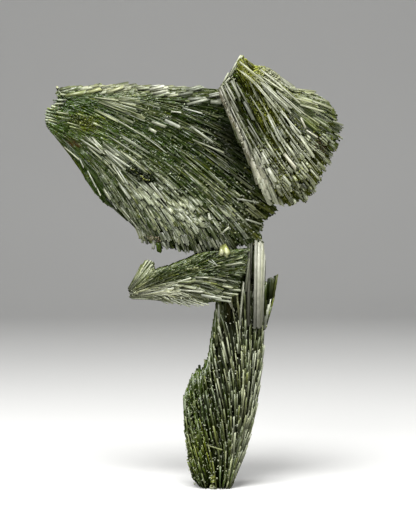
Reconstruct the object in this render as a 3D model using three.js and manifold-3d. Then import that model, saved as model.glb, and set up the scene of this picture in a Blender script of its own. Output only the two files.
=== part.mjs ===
// An epidote crystal cluster, 120 mm tall, standing upright on the broken foot of its stem.
// Five sheaves of prismatic crystals have grown into each other: a stem whose crystals spread
// upwards from the foot, a broad fan that spreads to the right and downwards, an upper fan in
// front of its far end, a side spray on the stem's left shoulder and a thin splinter on its right.
// Millimetres, +Z up, +X to the right and -Y towards the viewer. The origin is the foot's centre.
import * as THREE from "three";
import { mergeVertices } from "three/addons/utils/BufferGeometryUtils.js";
import Module from "manifold-3d";

const wasm = await Module();
wasm.setup();

// Driving dimensions
const GAP = 0.3; // between two sheaves that touch
const FOOT_WIDTH = 9.6; // flat underside of the stem, along X
const FOOT_DEPTH = 10.4; // and along Y
const FOOT_HEIGHT = 2.4;
const FOOT_STEP = 0.3; // the crystals round the foot end this far above the ground
const BROAD_ROOT = 2.2; // half the broad fan's thickness at its root
const BROAD_END = 11.6; // and at its thickest, near its tips
const UPPER_ROOT = 4.2; // the same for the upper fan
const UPPER_END = 8.6;
const UPPER_FRONT = 12.0; // how far the upper fan's root lies in front of the foot's centre
const UPPER_TURN = 0.17; // how fast the upper fan recedes to the right
const UPPER_BACK = 7.8; // from the middle of the upper fan to the back of its space
const EMBED = 0.9; // how deep a crystal's root lies in what it grows from
const PROUD = 0.7; // how far a tip can stand out of it
const SIDES = 4; // faces round a crystal
const FAR = 200; // reach of a cutting block past the object

// A sheaf is a row of rays, each a smooth curve in X and Z from root to tip that the crystals
// follow. The first and the last ray are the sheaf's two edges.
const BROAD_RAYS = [
  [[-43.5, 110.8], [-31.6, 111.6], [-20.5, 111.6], [-9.4, 110.8], [1.1, 110.2]],
  [[-44.3, 108.3], [-28.8, 107.8], [-12.2, 107.2], [8.6, 105.0]],
  [[-45.7, 105.3], [-26.0, 102.2], [-6.6, 98.1], [16.1, 91.6]],
  [[-46.3, 103.9], [-28.8, 98.3], [-12.2, 91.7], [3.0, 84.2], [16.8, 77.2]],
  [[-46.5, 102.5], [-29.4, 96.4], [-13.6, 87.5], [1.1, 77.8], [14.2, 67.8]],
  [[-46.5, 101.9], [-30.5, 94.7], [-15.5, 84.2], [-3.9, 73.7], [4.3, 64.4]],
  [[-46.5, 101.4], [-32.1, 93.3], [-19.1, 82.5], [-10.5, 72.9], [-5.8, 64.5]],
  [[-46.0, 100.0], [-35.2, 91.4], [-25.5, 80.9], [-18.3, 72.0], [-13.3, 66.2]],
  [[-45.5, 98.6], [-40.4, 92.4], [-35.3, 84.0], [-30.3, 78.6], [-24.5, 75.0], [-18.8, 67.7]],
];
const UPPER_RAYS = [
  [[8.0, 120.0], [13.3, 117.3], [18.4, 114.4], [23.8, 111.8], [28.8, 109.4], [32.6, 106.6]],
  [[7.2, 118.8], [15.5, 112.5], [25.2, 106.6], [34.2, 103.8]],
  [[6.1, 116.9], [15.5, 108.0], [25.2, 101.4], [34.9, 97.8]],
  [[5.0, 115.2], [13.3, 105.3], [22.4, 96.7], [32.4, 91.7]],
  [[3.9, 113.6], [11.1, 102.8], [19.7, 92.2], [29.2, 83.6]],
  [[2.5, 111.6], [8.9, 100.4], [16.2, 89.9], [25.2, 80.3]],
  [[2.1, 110.9], [7.2, 100.7], [12.9, 90.4], [20.2, 78.9]],
  [[1.7, 110.2], [5.5, 101.4], [10.0, 91.4], [13.3, 82.5], [15.6, 78.9]],
];
const SPRAY_RAYS = [
  [[-23.5, 55.1], [-21.1, 59.0], [-18.6, 63.4]],
  [[-23.3, 54.8], [-19.9, 58.4], [-16.6, 62.9]],
  [[-23.0, 54.6], [-19.4, 57.6], [-16.3, 60.7]],
  [[-22.7, 54.6], [-18.3, 57.6], [-12.7, 61.5]],
  [[-22.4, 54.3], [-14.4, 58.7], [-4.4, 64.8]],
  [[-22.4, 54.0], [-8.0, 59.8], [8.0, 65.9]],
  [[-22.4, 53.7], [-8.0, 57.6], [8.0, 60.9]],
  [[-22.7, 53.5], [-9.4, 55.7], [6.1, 55.4]],
  [[-23.0, 53.2], [-10.8, 54.0], [3.3, 52.4]],
  [[-23.3, 53.2], [-13.9, 53.5], [-6.6, 51.0]],
  [[-23.5, 52.9], [-17.7, 52.6], [-11.6, 52.1]],
];
const STEM_RAYS = [
  [[-4.2, 0.3], [-6.1, 2.8], [-7.2, 9.1], [-8.0, 16.1], [-8.3, 23.3]],
  [[-3.3, 0.3], [-5.0, 9.1], [-6.1, 18.8], [-6.1, 30.7]],
  [[-2.2, 0.3], [-3.0, 11.9], [-2.8, 24.4], [-2.5, 34.3]],
  [[-0.8, 0.3], [-0.8, 16.1], [-0.3, 31.0], [0.0, 42.4]],
  [[0.6, 0.3], [1.7, 18.8], [2.2, 38.2], [1.7, 51.8]],
  [[1.9, 0.3], [5.0, 21.6], [6.6, 41.0], [7.2, 56.2]],
  [[3.3, 0.3], [8.0, 21.6], [10.0, 43.8], [10.5, 67.9]],
  [[4.9, 0.3], [8.1, 8.4], [10.5, 16.1], [12.0, 24.0], [13.1, 32.5], [13.8, 42.0], [13.8, 68.7]],
];
const SPLINTER_RAYS = [
  [[13.6, 44.0], [13.6, 50.7], [13.9, 56.8]],
  [[13.9, 44.0], [15.0, 52.1], [15.5, 58.4]],
  [[14.1, 44.6], [16.1, 51.2], [17.5, 59.0]],
];

// The broad fan's underside runs from the first of these points to the second, in X and Z
const FAN_LEFT = [-9.5, 63.3];
const FAN_RIGHT = [14.4, 68.7];
const OVER_FAN = [[FAN_LEFT[0], FAR], FAN_LEFT, FAN_RIGHT, [FAR, FAR]];
const UNDER_FAN = [[FAN_LEFT[0], -FAR], FAN_LEFT, FAN_RIGHT, [FAR, FAN_RIGHT[1]], [FAR, -FAR]];
// Below the side spray and to the right of it everything belongs to the stem
const STEM_ROOM = [
  [-FAR, -FAR],
  [-FAR, 46],
  [-3, 46],
  [-3, 51.2],
  [3.6, 51.9],
  [8.3, 56.5],
  [8.3, FAR],
  [FAR, FAR],
  [FAR, -FAR],
];
// The splinter lies to the right of this, and its neighbour on the stem stays to the left
const SPLINTER_SIDE = 13.9;
const SPLINTER_ROOM = [
  [SPLINTER_SIDE + GAP, -FAR],
  [SPLINTER_SIDE + GAP, FAR],
  [FAR, FAR],
  [FAR, -FAR],
];
const SPLINTER_NICHE = [[SPLINTER_SIDE, 62], [SPLINTER_SIDE, 42], [FAR, 42], [FAR, 62]];

// Gives the same numbers from 0 to 1 at each run
function dice(seed) {
  let state = seed;
  return () => {
    state = (state + 0x6d2b79f5) | 0;
    let t = Math.imul(state ^ (state >>> 15), 1 | state);
    t = (t + Math.imul(t ^ (t >>> 7), 61 | t)) ^ t;
    return ((t ^ (t >>> 14)) >>> 0) / 4294967296;
  };
}

// Turns a geometry into a solid
function solidOf(geometry) {
  const bare = geometry.index ? geometry.toNonIndexed() : geometry.clone();
  bare.deleteAttribute("normal");
  bare.deleteAttribute("uv");
  const merged = mergeVertices(bare, 1e-4);
  return new wasm.Manifold(
    new wasm.Mesh({
      numProp: 3,
      vertProperties: merged.attributes.position.array,
      triVerts: new Uint32Array(merged.index.array),
    }),
  );
}

// Turns a solid back into a geometry of its largest skin, without loose chips or the pockets
// that are shut in between crystals
function outerSkin(solid) {
  const mesh = solid.getMesh();
  const place = mesh.vertProperties;
  const parent = Array.from({ length: place.length / 3 }, (_, i) => i);
  const top = (i) => {
    while (parent[i] !== i) i = parent[i] = parent[parent[i]];
    return i;
  };
  const faces = [];
  for (let i = 0; i < mesh.triVerts.length; i += 3) faces.push(mesh.triVerts.slice(i, i + 3));
  faces.forEach(([a, b, c]) => {
    parent[top(a)] = top(b);
    parent[top(b)] = top(c);
  });
  const corner = (i) => new THREE.Vector3().fromArray(place, 3 * i);
  const volume = new Map();
  faces.forEach(([a, b, c]) => {
    const wedge = corner(a).dot(corner(b).cross(corner(c))) / 6;
    volume.set(top(a), (volume.get(top(a)) ?? 0) + wedge);
  });
  const largest = [...volume].sort((m, n) => n[1] - m[1])[0][0];
  const kept = faces.filter(([a]) => top(a) === largest).flatMap((face) => [...face]);
  return new THREE.BufferGeometry()
    .setAttribute("position", new THREE.BufferAttribute(new Float32Array(place), 3))
    .setIndex(kept)
    .toNonIndexed();
}

// All of the space inside an outline in X and Z, moved by a little
function room(outline, dx = 0, dz = 0) {
  const shape = new THREE.Shape(outline.map(([x, z]) => new THREE.Vector2(x, z)));
  const geometry = new THREE.ExtrudeGeometry(shape, { depth: 2 * FAR, bevelEnabled: false });
  return solidOf(geometry.rotateX(Math.PI / 2).translate(dx, FAR, dz));
}

const smooth = THREE.MathUtils.smoothstep;
// Thins a sheaf towards its first edge and its last edge, over a share of its breadth
const thinEdges = (first, last, reach) => (across) =>
  (first + (1 - first) * Math.sin((Math.PI / 2) * Math.min(1, across / reach))) *
  (last + (1 - last) * Math.sin((Math.PI / 2) * Math.min(1, (1 - across) / reach)));
// Rounds a sheaf off towards its tips
const thinTips = (along) => 1 - 0.4 * smooth(along, 0.78, 1) ** 2;

class Sheaf {
  // half is half the thickness at a share along the rays, middle the depth of the middle layer
  constructor({ rays, half, middle, edge, seed }) {
    this.curves = rays.map(
      (ray) => new THREE.SplineCurve(ray.map(([x, z]) => new THREE.Vector2(x, z))),
    );
    this.half = half;
    this.middle = middle;
    this.edge = edge;
    this.roll = dice(seed);
  }

  between(low, high) {
    return low + (high - low) * this.roll();
  }

  // The point at a share across the rays, a share along them, and a depth from -1, the front,
  // to 1, the back
  at(across, along, depth) {
    const row = THREE.MathUtils.clamp(across, 0, 1) * (this.curves.length - 1);
    const ray = Math.min(Math.floor(row), this.curves.length - 2);
    const here = this.curves[ray].getPointAt(along);
    const p = here.lerp(this.curves[ray + 1].getPointAt(along), row - ray);
    const thick = this.half(along) * this.edge(across);
    return new THREE.Vector3(p.x, this.middle(p.x, p.y) + depth * thick, p.y);
  }

  // How far apart the rays at both sides of a crystal are, square to the rays
  spacing(across, along, share) {
    const low = this.at(across - share / 2, along, 0);
    const apart = this.at(across + share / 2, along, 0).sub(low);
    const ray = this.at(across, Math.min(along + 0.02, 1), 0);
    ray.sub(this.at(across, Math.max(along - 0.02, 0), 0)).normalize();
    return apart.addScaledVector(ray, -apart.dot(ray)).length();
  }

  // The way out of the front or the back
  outward(across, along, side) {
    const step = 0.02;
    const a = this.at(Math.min(across + step, 1), along, side);
    a.sub(this.at(Math.max(across - step, 0), along, side));
    const b = this.at(across, Math.min(along + step, 1), side);
    b.sub(this.at(across, Math.max(along - step, 0), side));
    const out = a.cross(b).normalize();
    return out.y * side > 0 ? out : out.negate();
  }

  // The closed slab that the crystals grow from, a little short of their tips
  core(columns, rows, short) {
    const points = [];
    for (const depth of [-1, 1])
      for (let i = 0; i <= columns; i++)
        for (let j = 0; j <= rows; j++) {
          const across = i / columns;
          const along = (1 - short) * (j / rows);
          const point = this.at(across, along, depth);
          points.push(point.addScaledVector(this.outward(across, along, depth), -EMBED * 0.4));
        }
    const sheet = (columns + 1) * (rows + 1);
    const at = (side, i, j) => side * sheet + i * (rows + 1) + j;
    const index = [];
    const quad = (a, b, c, d) => index.push(a, b, c, a, c, d);
    for (let i = 0; i < columns; i++)
      for (let j = 0; j < rows; j++) {
        quad(at(0, i, j), at(0, i + 1, j), at(0, i + 1, j + 1), at(0, i, j + 1));
        quad(at(1, i, j), at(1, i, j + 1), at(1, i + 1, j + 1), at(1, i + 1, j));
      }
    for (let i = 0; i < columns; i++) {
      quad(at(0, i, 0), at(1, i, 0), at(1, i + 1, 0), at(0, i + 1, 0));
      quad(at(0, i + 1, rows), at(1, i + 1, rows), at(1, i, rows), at(0, i, rows));
    }
    for (let j = 0; j < rows; j++) {
      quad(at(0, 0, j + 1), at(1, 0, j + 1), at(1, 0, j), at(0, 0, j));
      quad(at(0, columns, j), at(1, columns, j), at(1, columns, j + 1), at(0, columns, j + 1));
    }
    // The quads above face out where the rays are counted clockwise as the viewer sees them
    const first = points[at(0, 0, 0)];
    const along = points[at(0, 0, rows)].clone().sub(first);
    const across = points[at(0, columns, rows)].clone().sub(first);
    if (across.cross(along).y > 0) index.reverse();
    return solidOf(new THREE.BufferGeometry().setFromPoints(points).setIndex(index));
  }

  // One crystal from root to tip, narrower at the root, with a sloping end
  crystal(root, tip, outward, width, thick, taper = 1) {
    const axis = new THREE.Vector3().subVectors(tip, root);
    const length = axis.length();
    const prism = new THREE.CylinderGeometry(0.5, 0.5 * taper, length, SIDES, 1);
    prism.rotateY(this.between(0, Math.PI)).scale(width * 1.2, 1, thick * 1.2);
    const slant = this.between(-0.5, 0.5);
    const lean = this.between(0.1, 0.7);
    const place = prism.attributes.position;
    for (let i = 0; i < place.count; i++)
      if (place.getY(i) > 0) {
        const cut = slant * place.getX(i) - lean * place.getZ(i);
        place.setY(i, place.getY(i) + cut - (Math.abs(slant) * width + lean * thick) / 3);
      }
    axis.normalize();
    const side = new THREE.Vector3().crossVectors(axis, outward).normalize();
    const face = new THREE.Vector3().crossVectors(side, axis);
    const turn = new THREE.Matrix4().makeBasis(side, axis, face);
    turn.setPosition(new THREE.Vector3().addVectors(root, tip).multiplyScalar(0.5));
    return solidOf(prism.applyMatrix4(turn));
  }

  // Crystals side by side on the front or the back, whose tips end near one line
  course({ side, from, to, count, low = 0, high = 1, rise = 0, fill = 1.4, ragged = 0.06 }) {
    const made = [];
    const inset = ((high - low) * (fill - 1)) / (2 * count);
    for (let i = 0; i < count; i++) {
      const share = (i + this.between(0.38, 0.62)) / count;
      const across = low + inset + (high - low - 2 * inset) * share;
      const start = Math.max(0, from + this.between(-ragged, ragged));
      const end = Math.min(1, to + this.between(-ragged, ragged * 0.5));
      const reach = this.spacing(across, end, (high - low) / count);
      const width = THREE.MathUtils.clamp(reach * fill * this.between(0.8, 1.1), 0.9, 4);
      const thick = width * this.between(0.5, 0.8) + 0.6;
      const taper = Math.max(0.4, this.spacing(across, start, (high - low) / count) / reach);
      const up = this.outward(across, (start + end) / 2, side);
      const root = this.at(across, start, side).addScaledVector(up, rise - EMBED - thick * 0.3);
      const out = rise + PROUD * this.between(0, 1) - thick * 0.3;
      const tip = this.at(across, end, side).addScaledVector(up, out);
      made.push(this.crystal(root, tip, up, width, thick, Math.min(1, taper)));
    }
    return made;
  }

  // Crystals inside the thickness whose tips make the ragged far end
  fringe({ from, to, count, low = 0, high = 1, ragged = 0.03, fill = 1.2 }) {
    const made = [];
    const inset = ((high - low) * fill) / (2 * count);
    for (let i = 0; i < count; i++) {
      const across = low + inset + (high - low - 2 * inset) * (i / (count - 1));
      const depth = [-1, 1, 0][i % 3] * this.between(0.45, 0.7);
      const end = THREE.MathUtils.clamp(to + this.between(-ragged, ragged * 0.3), 0, 1);
      const thick = Math.min(this.half(end) * this.edge(across) * this.between(0.7, 1), 5);
      const width = Math.min(this.spacing(across, end, (high - low) / count) * fill, 3.6);
      const root = this.at(across, from, depth);
      const tip = this.at(across, end, depth);
      made.push(this.crystal(root, tip, new THREE.Vector3(0, -1, 0), width, thick, 0.7));
    }
    return made;
  }
}

function fuse(core, crystals) {
  return crystals.reduce((whole, crystal) => whole.add(crystal), core);
}

// The broad fan: thin at its root on the far left, thick at its ends
function broadFan() {
  const sheaf = new Sheaf({
    rays: BROAD_RAYS,
    half: (s) => (BROAD_ROOT + (BROAD_END - BROAD_ROOT) * smooth(s, 0.15, 1)) * thinTips(s),
    middle: (x) => 3.5 + 0.02 * x,
    edge: thinEdges(0.34, 0.26, 0.24),
    seed: 11,
  });
  return fuse(sheaf.core(7, 5, 0.045), [
    ...sheaf.course({ side: -1, from: 0.02, to: 0.3, count: 5 }),
    ...sheaf.course({ side: -1, from: 0.18, to: 0.5, count: 6 }),
    ...sheaf.course({ side: -1, from: 0.38, to: 0.7, count: 8 }),
    ...sheaf.course({ side: -1, from: 0.58, to: 0.86, count: 8, rise: 0.2 }),
    ...sheaf.course({ side: -1, from: 0.76, to: 1, count: 9, rise: 0.2, ragged: 0.03 }),
    ...sheaf.course({ side: 1, from: 0.02, to: 0.38, count: 4 }),
    ...sheaf.course({ side: 1, from: 0.28, to: 0.66, count: 5 }),
    ...sheaf.course({ side: 1, from: 0.52, to: 0.86, count: 6, rise: 0.2 }),
    ...sheaf.course({ side: 1, from: 0.76, to: 1, count: 7, rise: 0.2, ragged: 0.03 }),
    ...sheaf.fringe({ from: 0.84, to: 1, count: 15, fill: 1.6 }),
    ...sheaf.fringe({ from: 0.16, to: 0, count: 4 }),
    // The pale ledge along the top, in four steps, and the pale group below it
    ...sheaf.course({ side: -1, from: 0.1, to: 0.3, count: 1, high: 0.07, rise: 1, fill: 1 }),
    ...sheaf.course({ side: -1, from: 0.24, to: 0.52, count: 1, high: 0.09, rise: 1, fill: 1 }),
    ...sheaf.course({ side: -1, from: 0.45, to: 0.74, count: 2, high: 0.1, rise: 1, fill: 1 }),
    ...sheaf.course({ side: -1, from: 0.66, to: 1, count: 2, high: 0.12, rise: 1, fill: 1 }),
    ...sheaf.course({
      side: -1,
      from: 0.22,
      to: 0.46,
      count: 3,
      low: 0.12,
      high: 0.26,
      rise: 1.2,
      ragged: 0.01,
    }),
  ]);
}

// The upper fan: a thick plate that turns a little to the right, in front of the broad fan
function upperFan() {
  const sheaf = new Sheaf({
    rays: UPPER_RAYS,
    half: (s) => (UPPER_ROOT + (UPPER_END - UPPER_ROOT) * smooth(s, 0, 0.9)) * thinTips(s),
    middle: (x) => UPPER_TURN * x - UPPER_FRONT,
    edge: thinEdges(0.4, 0.5, 0.2),
    seed: 23,
  });
  return fuse(sheaf.core(6, 5, 0.05), [
    ...sheaf.course({ side: -1, from: 0.02, to: 0.42, count: 5 }),
    ...sheaf.course({ side: -1, from: 0.24, to: 0.68, count: 6 }),
    ...sheaf.course({ side: -1, from: 0.5, to: 0.86, count: 7, rise: 0.2 }),
    ...sheaf.course({ side: -1, from: 0.72, to: 1, count: 8, rise: 0.2, ragged: 0.04 }),
    ...sheaf.course({ side: 1, from: 0.02, to: 0.5, count: 4 }),
    ...sheaf.course({ side: 1, from: 0.42, to: 0.8, count: 4, rise: 0.2 }),
    ...sheaf.course({ side: 1, from: 0.72, to: 1, count: 5, rise: 0.2 }),
    ...sheaf.fringe({ from: 0.78, to: 1, count: 12, fill: 1.6 }),
  ]);
}

// The side spray: a short horn and a fan that spread from one point
function sideSpray() {
  const sheaf = new Sheaf({
    rays: SPRAY_RAYS,
    half: (s) => 1.4 + 3.8 * smooth(s, 0, 0.9),
    middle: (x) => -1.6 - 0.04 * x,
    edge: thinEdges(0.4, 0.36, 0.3),
    seed: 37,
  });
  return fuse(sheaf.core(10, 3, 0.01), [
    ...sheaf.course({ side: -1, from: 0.16, to: 0.62, count: 4, low: 0.3 }),
    ...sheaf.course({ side: -1, from: 0.45, to: 0.99, count: 6, low: 0.3 }),
    ...sheaf.course({ side: -1, from: 0.1, to: 0.98, count: 2, high: 0.2, fill: 1.1 }),
    ...sheaf.course({ side: 1, from: 0.2, to: 0.98, count: 5, low: 0.3 }),
    ...sheaf.fringe({ from: 0.7, to: 1, count: 4, low: 0.7 }),
  ]);
}

// The stem: its crystals start at the flat foot and spread upwards
function stem() {
  const sheaf = new Sheaf({
    rays: STEM_RAYS,
    half: (s) => 4.9 + 1.3 * smooth(s, 0, 0.3) - 3.2 * smooth(s, 0.4, 0.9),
    middle: () => 0,
    edge: thinEdges(0.38, 0.36, 0.34),
    seed: 41,
  });
  const towards = new THREE.Vector3(0, -1, 0);
  const at = (x, y, z) => new THREE.Vector3(x, y, z);
  const grown = fuse(sheaf.core(8, 7, 0.015), [
    ...sheaf.course({ side: -1, from: 0.03, to: 0.34, count: 5 }),
    ...sheaf.course({ side: -1, from: 0.18, to: 0.62, count: 7 }),
    ...sheaf.course({ side: -1, from: 0.45, to: 0.98, count: 7, high: 0.86 }),
    ...sheaf.course({ side: -1, from: 0.26, to: 0.6, count: 2, low: 0.8, fill: 1.2 }),
    ...sheaf.course({ side: 1, from: 0.03, to: 0.44, count: 5 }),
    ...sheaf.course({ side: 1, from: 0.32, to: 0.98, count: 6 }),
    ...sheaf.course({ side: 1, from: 0.2, to: 0.5, count: 2, low: 0.8, fill: 1.2 }),
    ...sheaf.fringe({ from: 0.6, to: 1, count: 4, high: 0.7 }),
    // The long pale blade in front of the neck, and two thin crystals beside it
    sheaf.crystal(at(12.2, -3.2, 44.0), at(12.3, -3.6, 70.4), towards, 2.8, 3.2),
    sheaf.crystal(at(10.9, -3.4, 54.0), at(10.7, -3.4, 67.6), towards, 0.9, 1.6),
    sheaf.crystal(at(7.8, -3.4, 41.0), at(8.0, -3.6, 57.6), towards, 1.1, 1.8),
  ]);
  const aboveFoot = room([[-FAR, FOOT_STEP], [-FAR, FAR], [FAR, FAR], [FAR, FOOT_STEP]]);
  return grown.intersect(aboveFoot).add(foot());
}

// The flat foot that the whole cluster stands on
function foot() {
  const pad = new THREE.CylinderGeometry(0.53, 0.5, FOOT_HEIGHT, 6, 1);
  pad.rotateX(Math.PI / 2).scale(FOOT_WIDTH / Math.cos(Math.PI / 6), FOOT_DEPTH, 1);
  return solidOf(pad.translate(0, 0, FOOT_HEIGHT / 2));
}

// The splinter: a thin sheaf on the right of the stem
function splinter() {
  const sheaf = new Sheaf({
    rays: SPLINTER_RAYS,
    half: (s) => 1.0 + 0.5 * s,
    middle: () => -0.8,
    edge: () => 1,
    seed: 53,
  });
  return fuse(sheaf.core(2, 2, 0.04), [
    ...sheaf.course({ side: -1, from: 0, to: 0.98, count: 2, fill: 1.1 }),
    ...sheaf.course({ side: 1, from: 0, to: 0.92, count: 2, fill: 1.1 }),
  ]);
}

// The space in front of the broad fan that belongs to the upper fan, drawn in by a margin
function upperRoom(margin) {
  const top = UPPER_RAYS.at(-1)[0];
  const low = UPPER_RAYS.at(-1)[3];
  const slope = (top[1] - low[1]) / (top[0] - low[0]);
  const left = low[0] - 0.9 + margin;
  const shape = new THREE.Shape(
    [
      [left - 20 / slope, low[1] - 20],
      [FAR, low[1] - 20],
      [FAR, FAR],
      [left + (FAR - low[1]) / slope, FAR],
    ].map(([x, z]) => new THREE.Vector2(x, z)),
  );
  const space = new THREE.ExtrudeGeometry(shape, { depth: FAR, bevelEnabled: false });
  space.rotateX(Math.PI / 2); // the outline now lies in X and Z, and the depth runs to -Y
  const place = space.attributes.position;
  for (let i = 0; i < place.count; i++) {
    const back = UPPER_TURN * place.getX(i) - UPPER_FRONT + UPPER_BACK - margin;
    place.setY(i, place.getY(i) + back);
  }
  return solidOf(space);
}

function named(name, solid, color, roughness) {
  const paint = new THREE.MeshStandardMaterial({ color, roughness, metalness: 0 });
  const mesh = new THREE.Mesh(outerSkin(solid), paint);
  mesh.name = name;
  return mesh;
}

const cluster = new THREE.Group();
cluster.add(
  named("broad_fan", broadFan().subtract(upperRoom(0)).subtract(room(UNDER_FAN)), 0x6f7f5c, 0.45),
  named("upper_fan", upperFan().intersect(upperRoom(GAP)), 0x8a9068, 0.4),
  named(
    "side_spray",
    sideSpray().subtract(room(OVER_FAN, 0, -GAP)).subtract(room(STEM_ROOM)),
    0x84916f,
    0.5,
  ),
  named(
    "stem_sheaf",
    stem()
      .intersect(room(STEM_ROOM, GAP, -GAP))
      .intersect(room(UNDER_FAN, 0, -GAP))
      .subtract(room(SPLINTER_NICHE)),
    0x5f7152,
    0.5,
  ),
  named("stem_splinter", splinter().intersect(room(SPLINTER_ROOM)), 0x66764c, 0.5),
);

export default cluster;
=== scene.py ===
# Looks of the epidote crystal cluster. Every sheaf is dressed in thousands of fine prismatic
# crystals that follow the same rays as its solid. Metres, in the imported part's frame.
import math
import bpy
import numpy as np
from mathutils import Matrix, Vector


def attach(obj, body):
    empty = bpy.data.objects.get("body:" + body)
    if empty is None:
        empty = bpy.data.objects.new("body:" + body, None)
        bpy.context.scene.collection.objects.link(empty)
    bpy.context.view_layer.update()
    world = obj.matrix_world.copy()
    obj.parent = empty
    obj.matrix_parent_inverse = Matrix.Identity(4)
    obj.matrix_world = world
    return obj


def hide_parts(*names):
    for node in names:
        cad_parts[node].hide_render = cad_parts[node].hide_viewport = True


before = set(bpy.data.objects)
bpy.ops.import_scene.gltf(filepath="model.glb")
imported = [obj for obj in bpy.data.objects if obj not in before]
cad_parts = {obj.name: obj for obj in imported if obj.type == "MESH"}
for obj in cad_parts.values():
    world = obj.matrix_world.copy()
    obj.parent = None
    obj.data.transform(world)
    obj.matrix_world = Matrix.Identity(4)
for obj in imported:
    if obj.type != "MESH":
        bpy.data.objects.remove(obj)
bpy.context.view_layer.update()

MM = 0.001
DEGREE = math.pi / 180

# Sizes of the sheaves, the same as in the part
BROAD_ROOT, BROAD_END = 2.2 * MM, 11.6 * MM  # half the broad fan's thickness at root and tips
UPPER_ROOT, UPPER_END = 4.2 * MM, 8.6 * MM  # the same for the upper fan
UPPER_FRONT = 12.0 * MM  # how far the upper fan's root lies in front of the foot's centre
UPPER_TURN = 0.17  # how fast the upper fan recedes to the right

# Each sheaf's rays from root to tip, in X and Z in millimetres. They are the part's own, but
# for the broad fan's last ray, which is drawn in by up to 0.8 mm.
BROAD_RAYS = [
    [[-43.5, 110.8], [-31.6, 111.6], [-20.5, 111.6], [-9.4, 110.8], [1.1, 110.2]],
    [[-44.3, 108.3], [-28.8, 107.8], [-12.2, 107.2], [8.6, 105.0]],
    [[-45.7, 105.3], [-26.0, 102.2], [-6.6, 98.1], [16.1, 91.6]],
    [[-46.3, 103.9], [-28.8, 98.3], [-12.2, 91.7], [3.0, 84.2], [16.8, 77.2]],
    [[-46.5, 102.5], [-29.4, 96.4], [-13.6, 87.5], [1.1, 77.8], [14.2, 67.8]],
    [[-46.5, 101.9], [-30.5, 94.7], [-15.5, 84.2], [-3.9, 73.7], [4.3, 64.4]],
    [[-46.5, 101.4], [-32.1, 93.3], [-19.1, 82.5], [-10.5, 72.9], [-5.8, 64.5]],
    [[-46.0, 100.0], [-35.2, 91.4], [-25.5, 80.9], [-18.3, 72.0], [-13.3, 66.2]],
    [[-45.3, 98.9], [-39.8, 92.8], [-34.8, 84.4], [-30.3, 78.8], [-24.0, 75.6], [-18.6, 67.9]],
]
UPPER_RAYS = [
    [[8.0, 120.0], [13.3, 117.3], [18.4, 114.4], [23.8, 111.8], [28.8, 109.4], [32.6, 106.6]],
    [[7.2, 118.8], [15.5, 112.5], [25.2, 106.6], [34.2, 103.8]],
    [[6.1, 116.9], [15.5, 108.0], [25.2, 101.4], [34.9, 97.8]],
    [[5.0, 115.2], [13.3, 105.3], [22.4, 96.7], [32.4, 91.7]],
    [[3.9, 113.6], [11.1, 102.8], [19.7, 92.2], [29.2, 83.6]],
    [[2.5, 111.6], [8.9, 100.4], [16.2, 89.9], [25.2, 80.3]],
    [[2.1, 110.9], [7.2, 100.7], [12.9, 90.4], [20.2, 78.9]],
    [[1.7, 110.2], [5.5, 101.4], [10.0, 91.4], [13.3, 82.5], [15.6, 78.9]],
]
SPRAY_RAYS = [
    [[-23.5, 55.1], [-21.1, 59.0], [-18.6, 63.4]],
    [[-23.3, 54.8], [-19.9, 58.4], [-16.6, 62.9]],
    [[-23.0, 54.6], [-19.4, 57.6], [-16.3, 60.7]],
    [[-22.7, 54.6], [-18.3, 57.6], [-12.7, 61.5]],
    [[-22.4, 54.3], [-14.4, 58.7], [-4.4, 64.8]],
    [[-22.4, 54.0], [-8.0, 59.8], [8.0, 65.9]],
    [[-22.4, 53.7], [-8.0, 57.6], [8.0, 60.9]],
    [[-22.7, 53.5], [-9.4, 55.7], [6.1, 55.4]],
    [[-23.0, 53.2], [-10.8, 54.0], [3.3, 52.4]],
    [[-23.3, 53.2], [-13.9, 53.5], [-6.6, 51.0]],
    [[-23.5, 52.9], [-17.7, 52.6], [-11.6, 52.1]],
]
STEM_RAYS = [
    [[-4.2, 0.3], [-6.1, 2.8], [-7.2, 9.1], [-8.0, 16.1], [-8.3, 23.3]],
    [[-3.3, 0.3], [-5.0, 9.1], [-6.1, 18.8], [-6.1, 30.7]],
    [[-2.2, 0.3], [-3.0, 11.9], [-2.8, 24.4], [-2.5, 34.3]],
    [[-0.8, 0.3], [-0.8, 16.1], [-0.3, 31.0], [0.0, 42.4]],
    [[0.6, 0.3], [1.7, 18.8], [2.2, 38.2], [1.7, 51.8]],
    [[1.9, 0.3], [5.0, 21.6], [6.6, 41.0], [7.2, 56.2]],
    [[3.3, 0.3], [8.0, 21.6], [10.0, 43.8], [10.5, 67.9]],
    [[4.9, 0.3], [8.1, 8.4], [10.5, 16.1], [12.0, 24.0], [13.1, 32.5], [13.8, 42.0], [13.8, 68.7]],
]
SPLINTER_RAYS = [
    [[13.6, 44.0], [13.6, 50.7], [13.9, 56.8]],
    [[13.9, 44.0], [15.0, 52.1], [15.5, 58.4]],
    [[14.1, 44.6], [16.1, 51.2], [17.5, 59.0]],
]

SIDES = 4  # faces round a crystal
STEPS = 80  # along a ray
CURVE_STEPS = 40  # from one point of a curve to the next, to measure its length
SLICES = 21  # places along where a sheaf's breadth is measured
SAMPLES = 25  # points across a sheaf for that
PACKET_WIDTH = 1.3 * MM  # of a packet of crystals that lie alike
PACKET_LENGTH = 8 * MM
UNEVEN_TIPS = 0.8  # the most by which a bundle's crystals end short of its step, in millimetres
LINK_SHARE = 0.75  # of a crystal's length, from its tip to the next one's in a ridge
LEAN_START = 0.25  # place along where the crystals lean in full
BED_DEPTH = 2.2 * MM  # how far the bed under the fine crystals lies below their surface
BED_STEPS = 40  # along each side of the bed
BED_START, BED_END = 0.035, 0.94  # places along where the bed begins and stops
THINNEST_BED = 0.15  # share of the sheaf's thickness
FILLED = 0.94  # share of the thickness that has crystal tips at a sheaf's end
CLUMPS = 16  # of tips across an end
CLUMP_SEED = 77
NEAR_TEETH = 22  # steps across a near end
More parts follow.
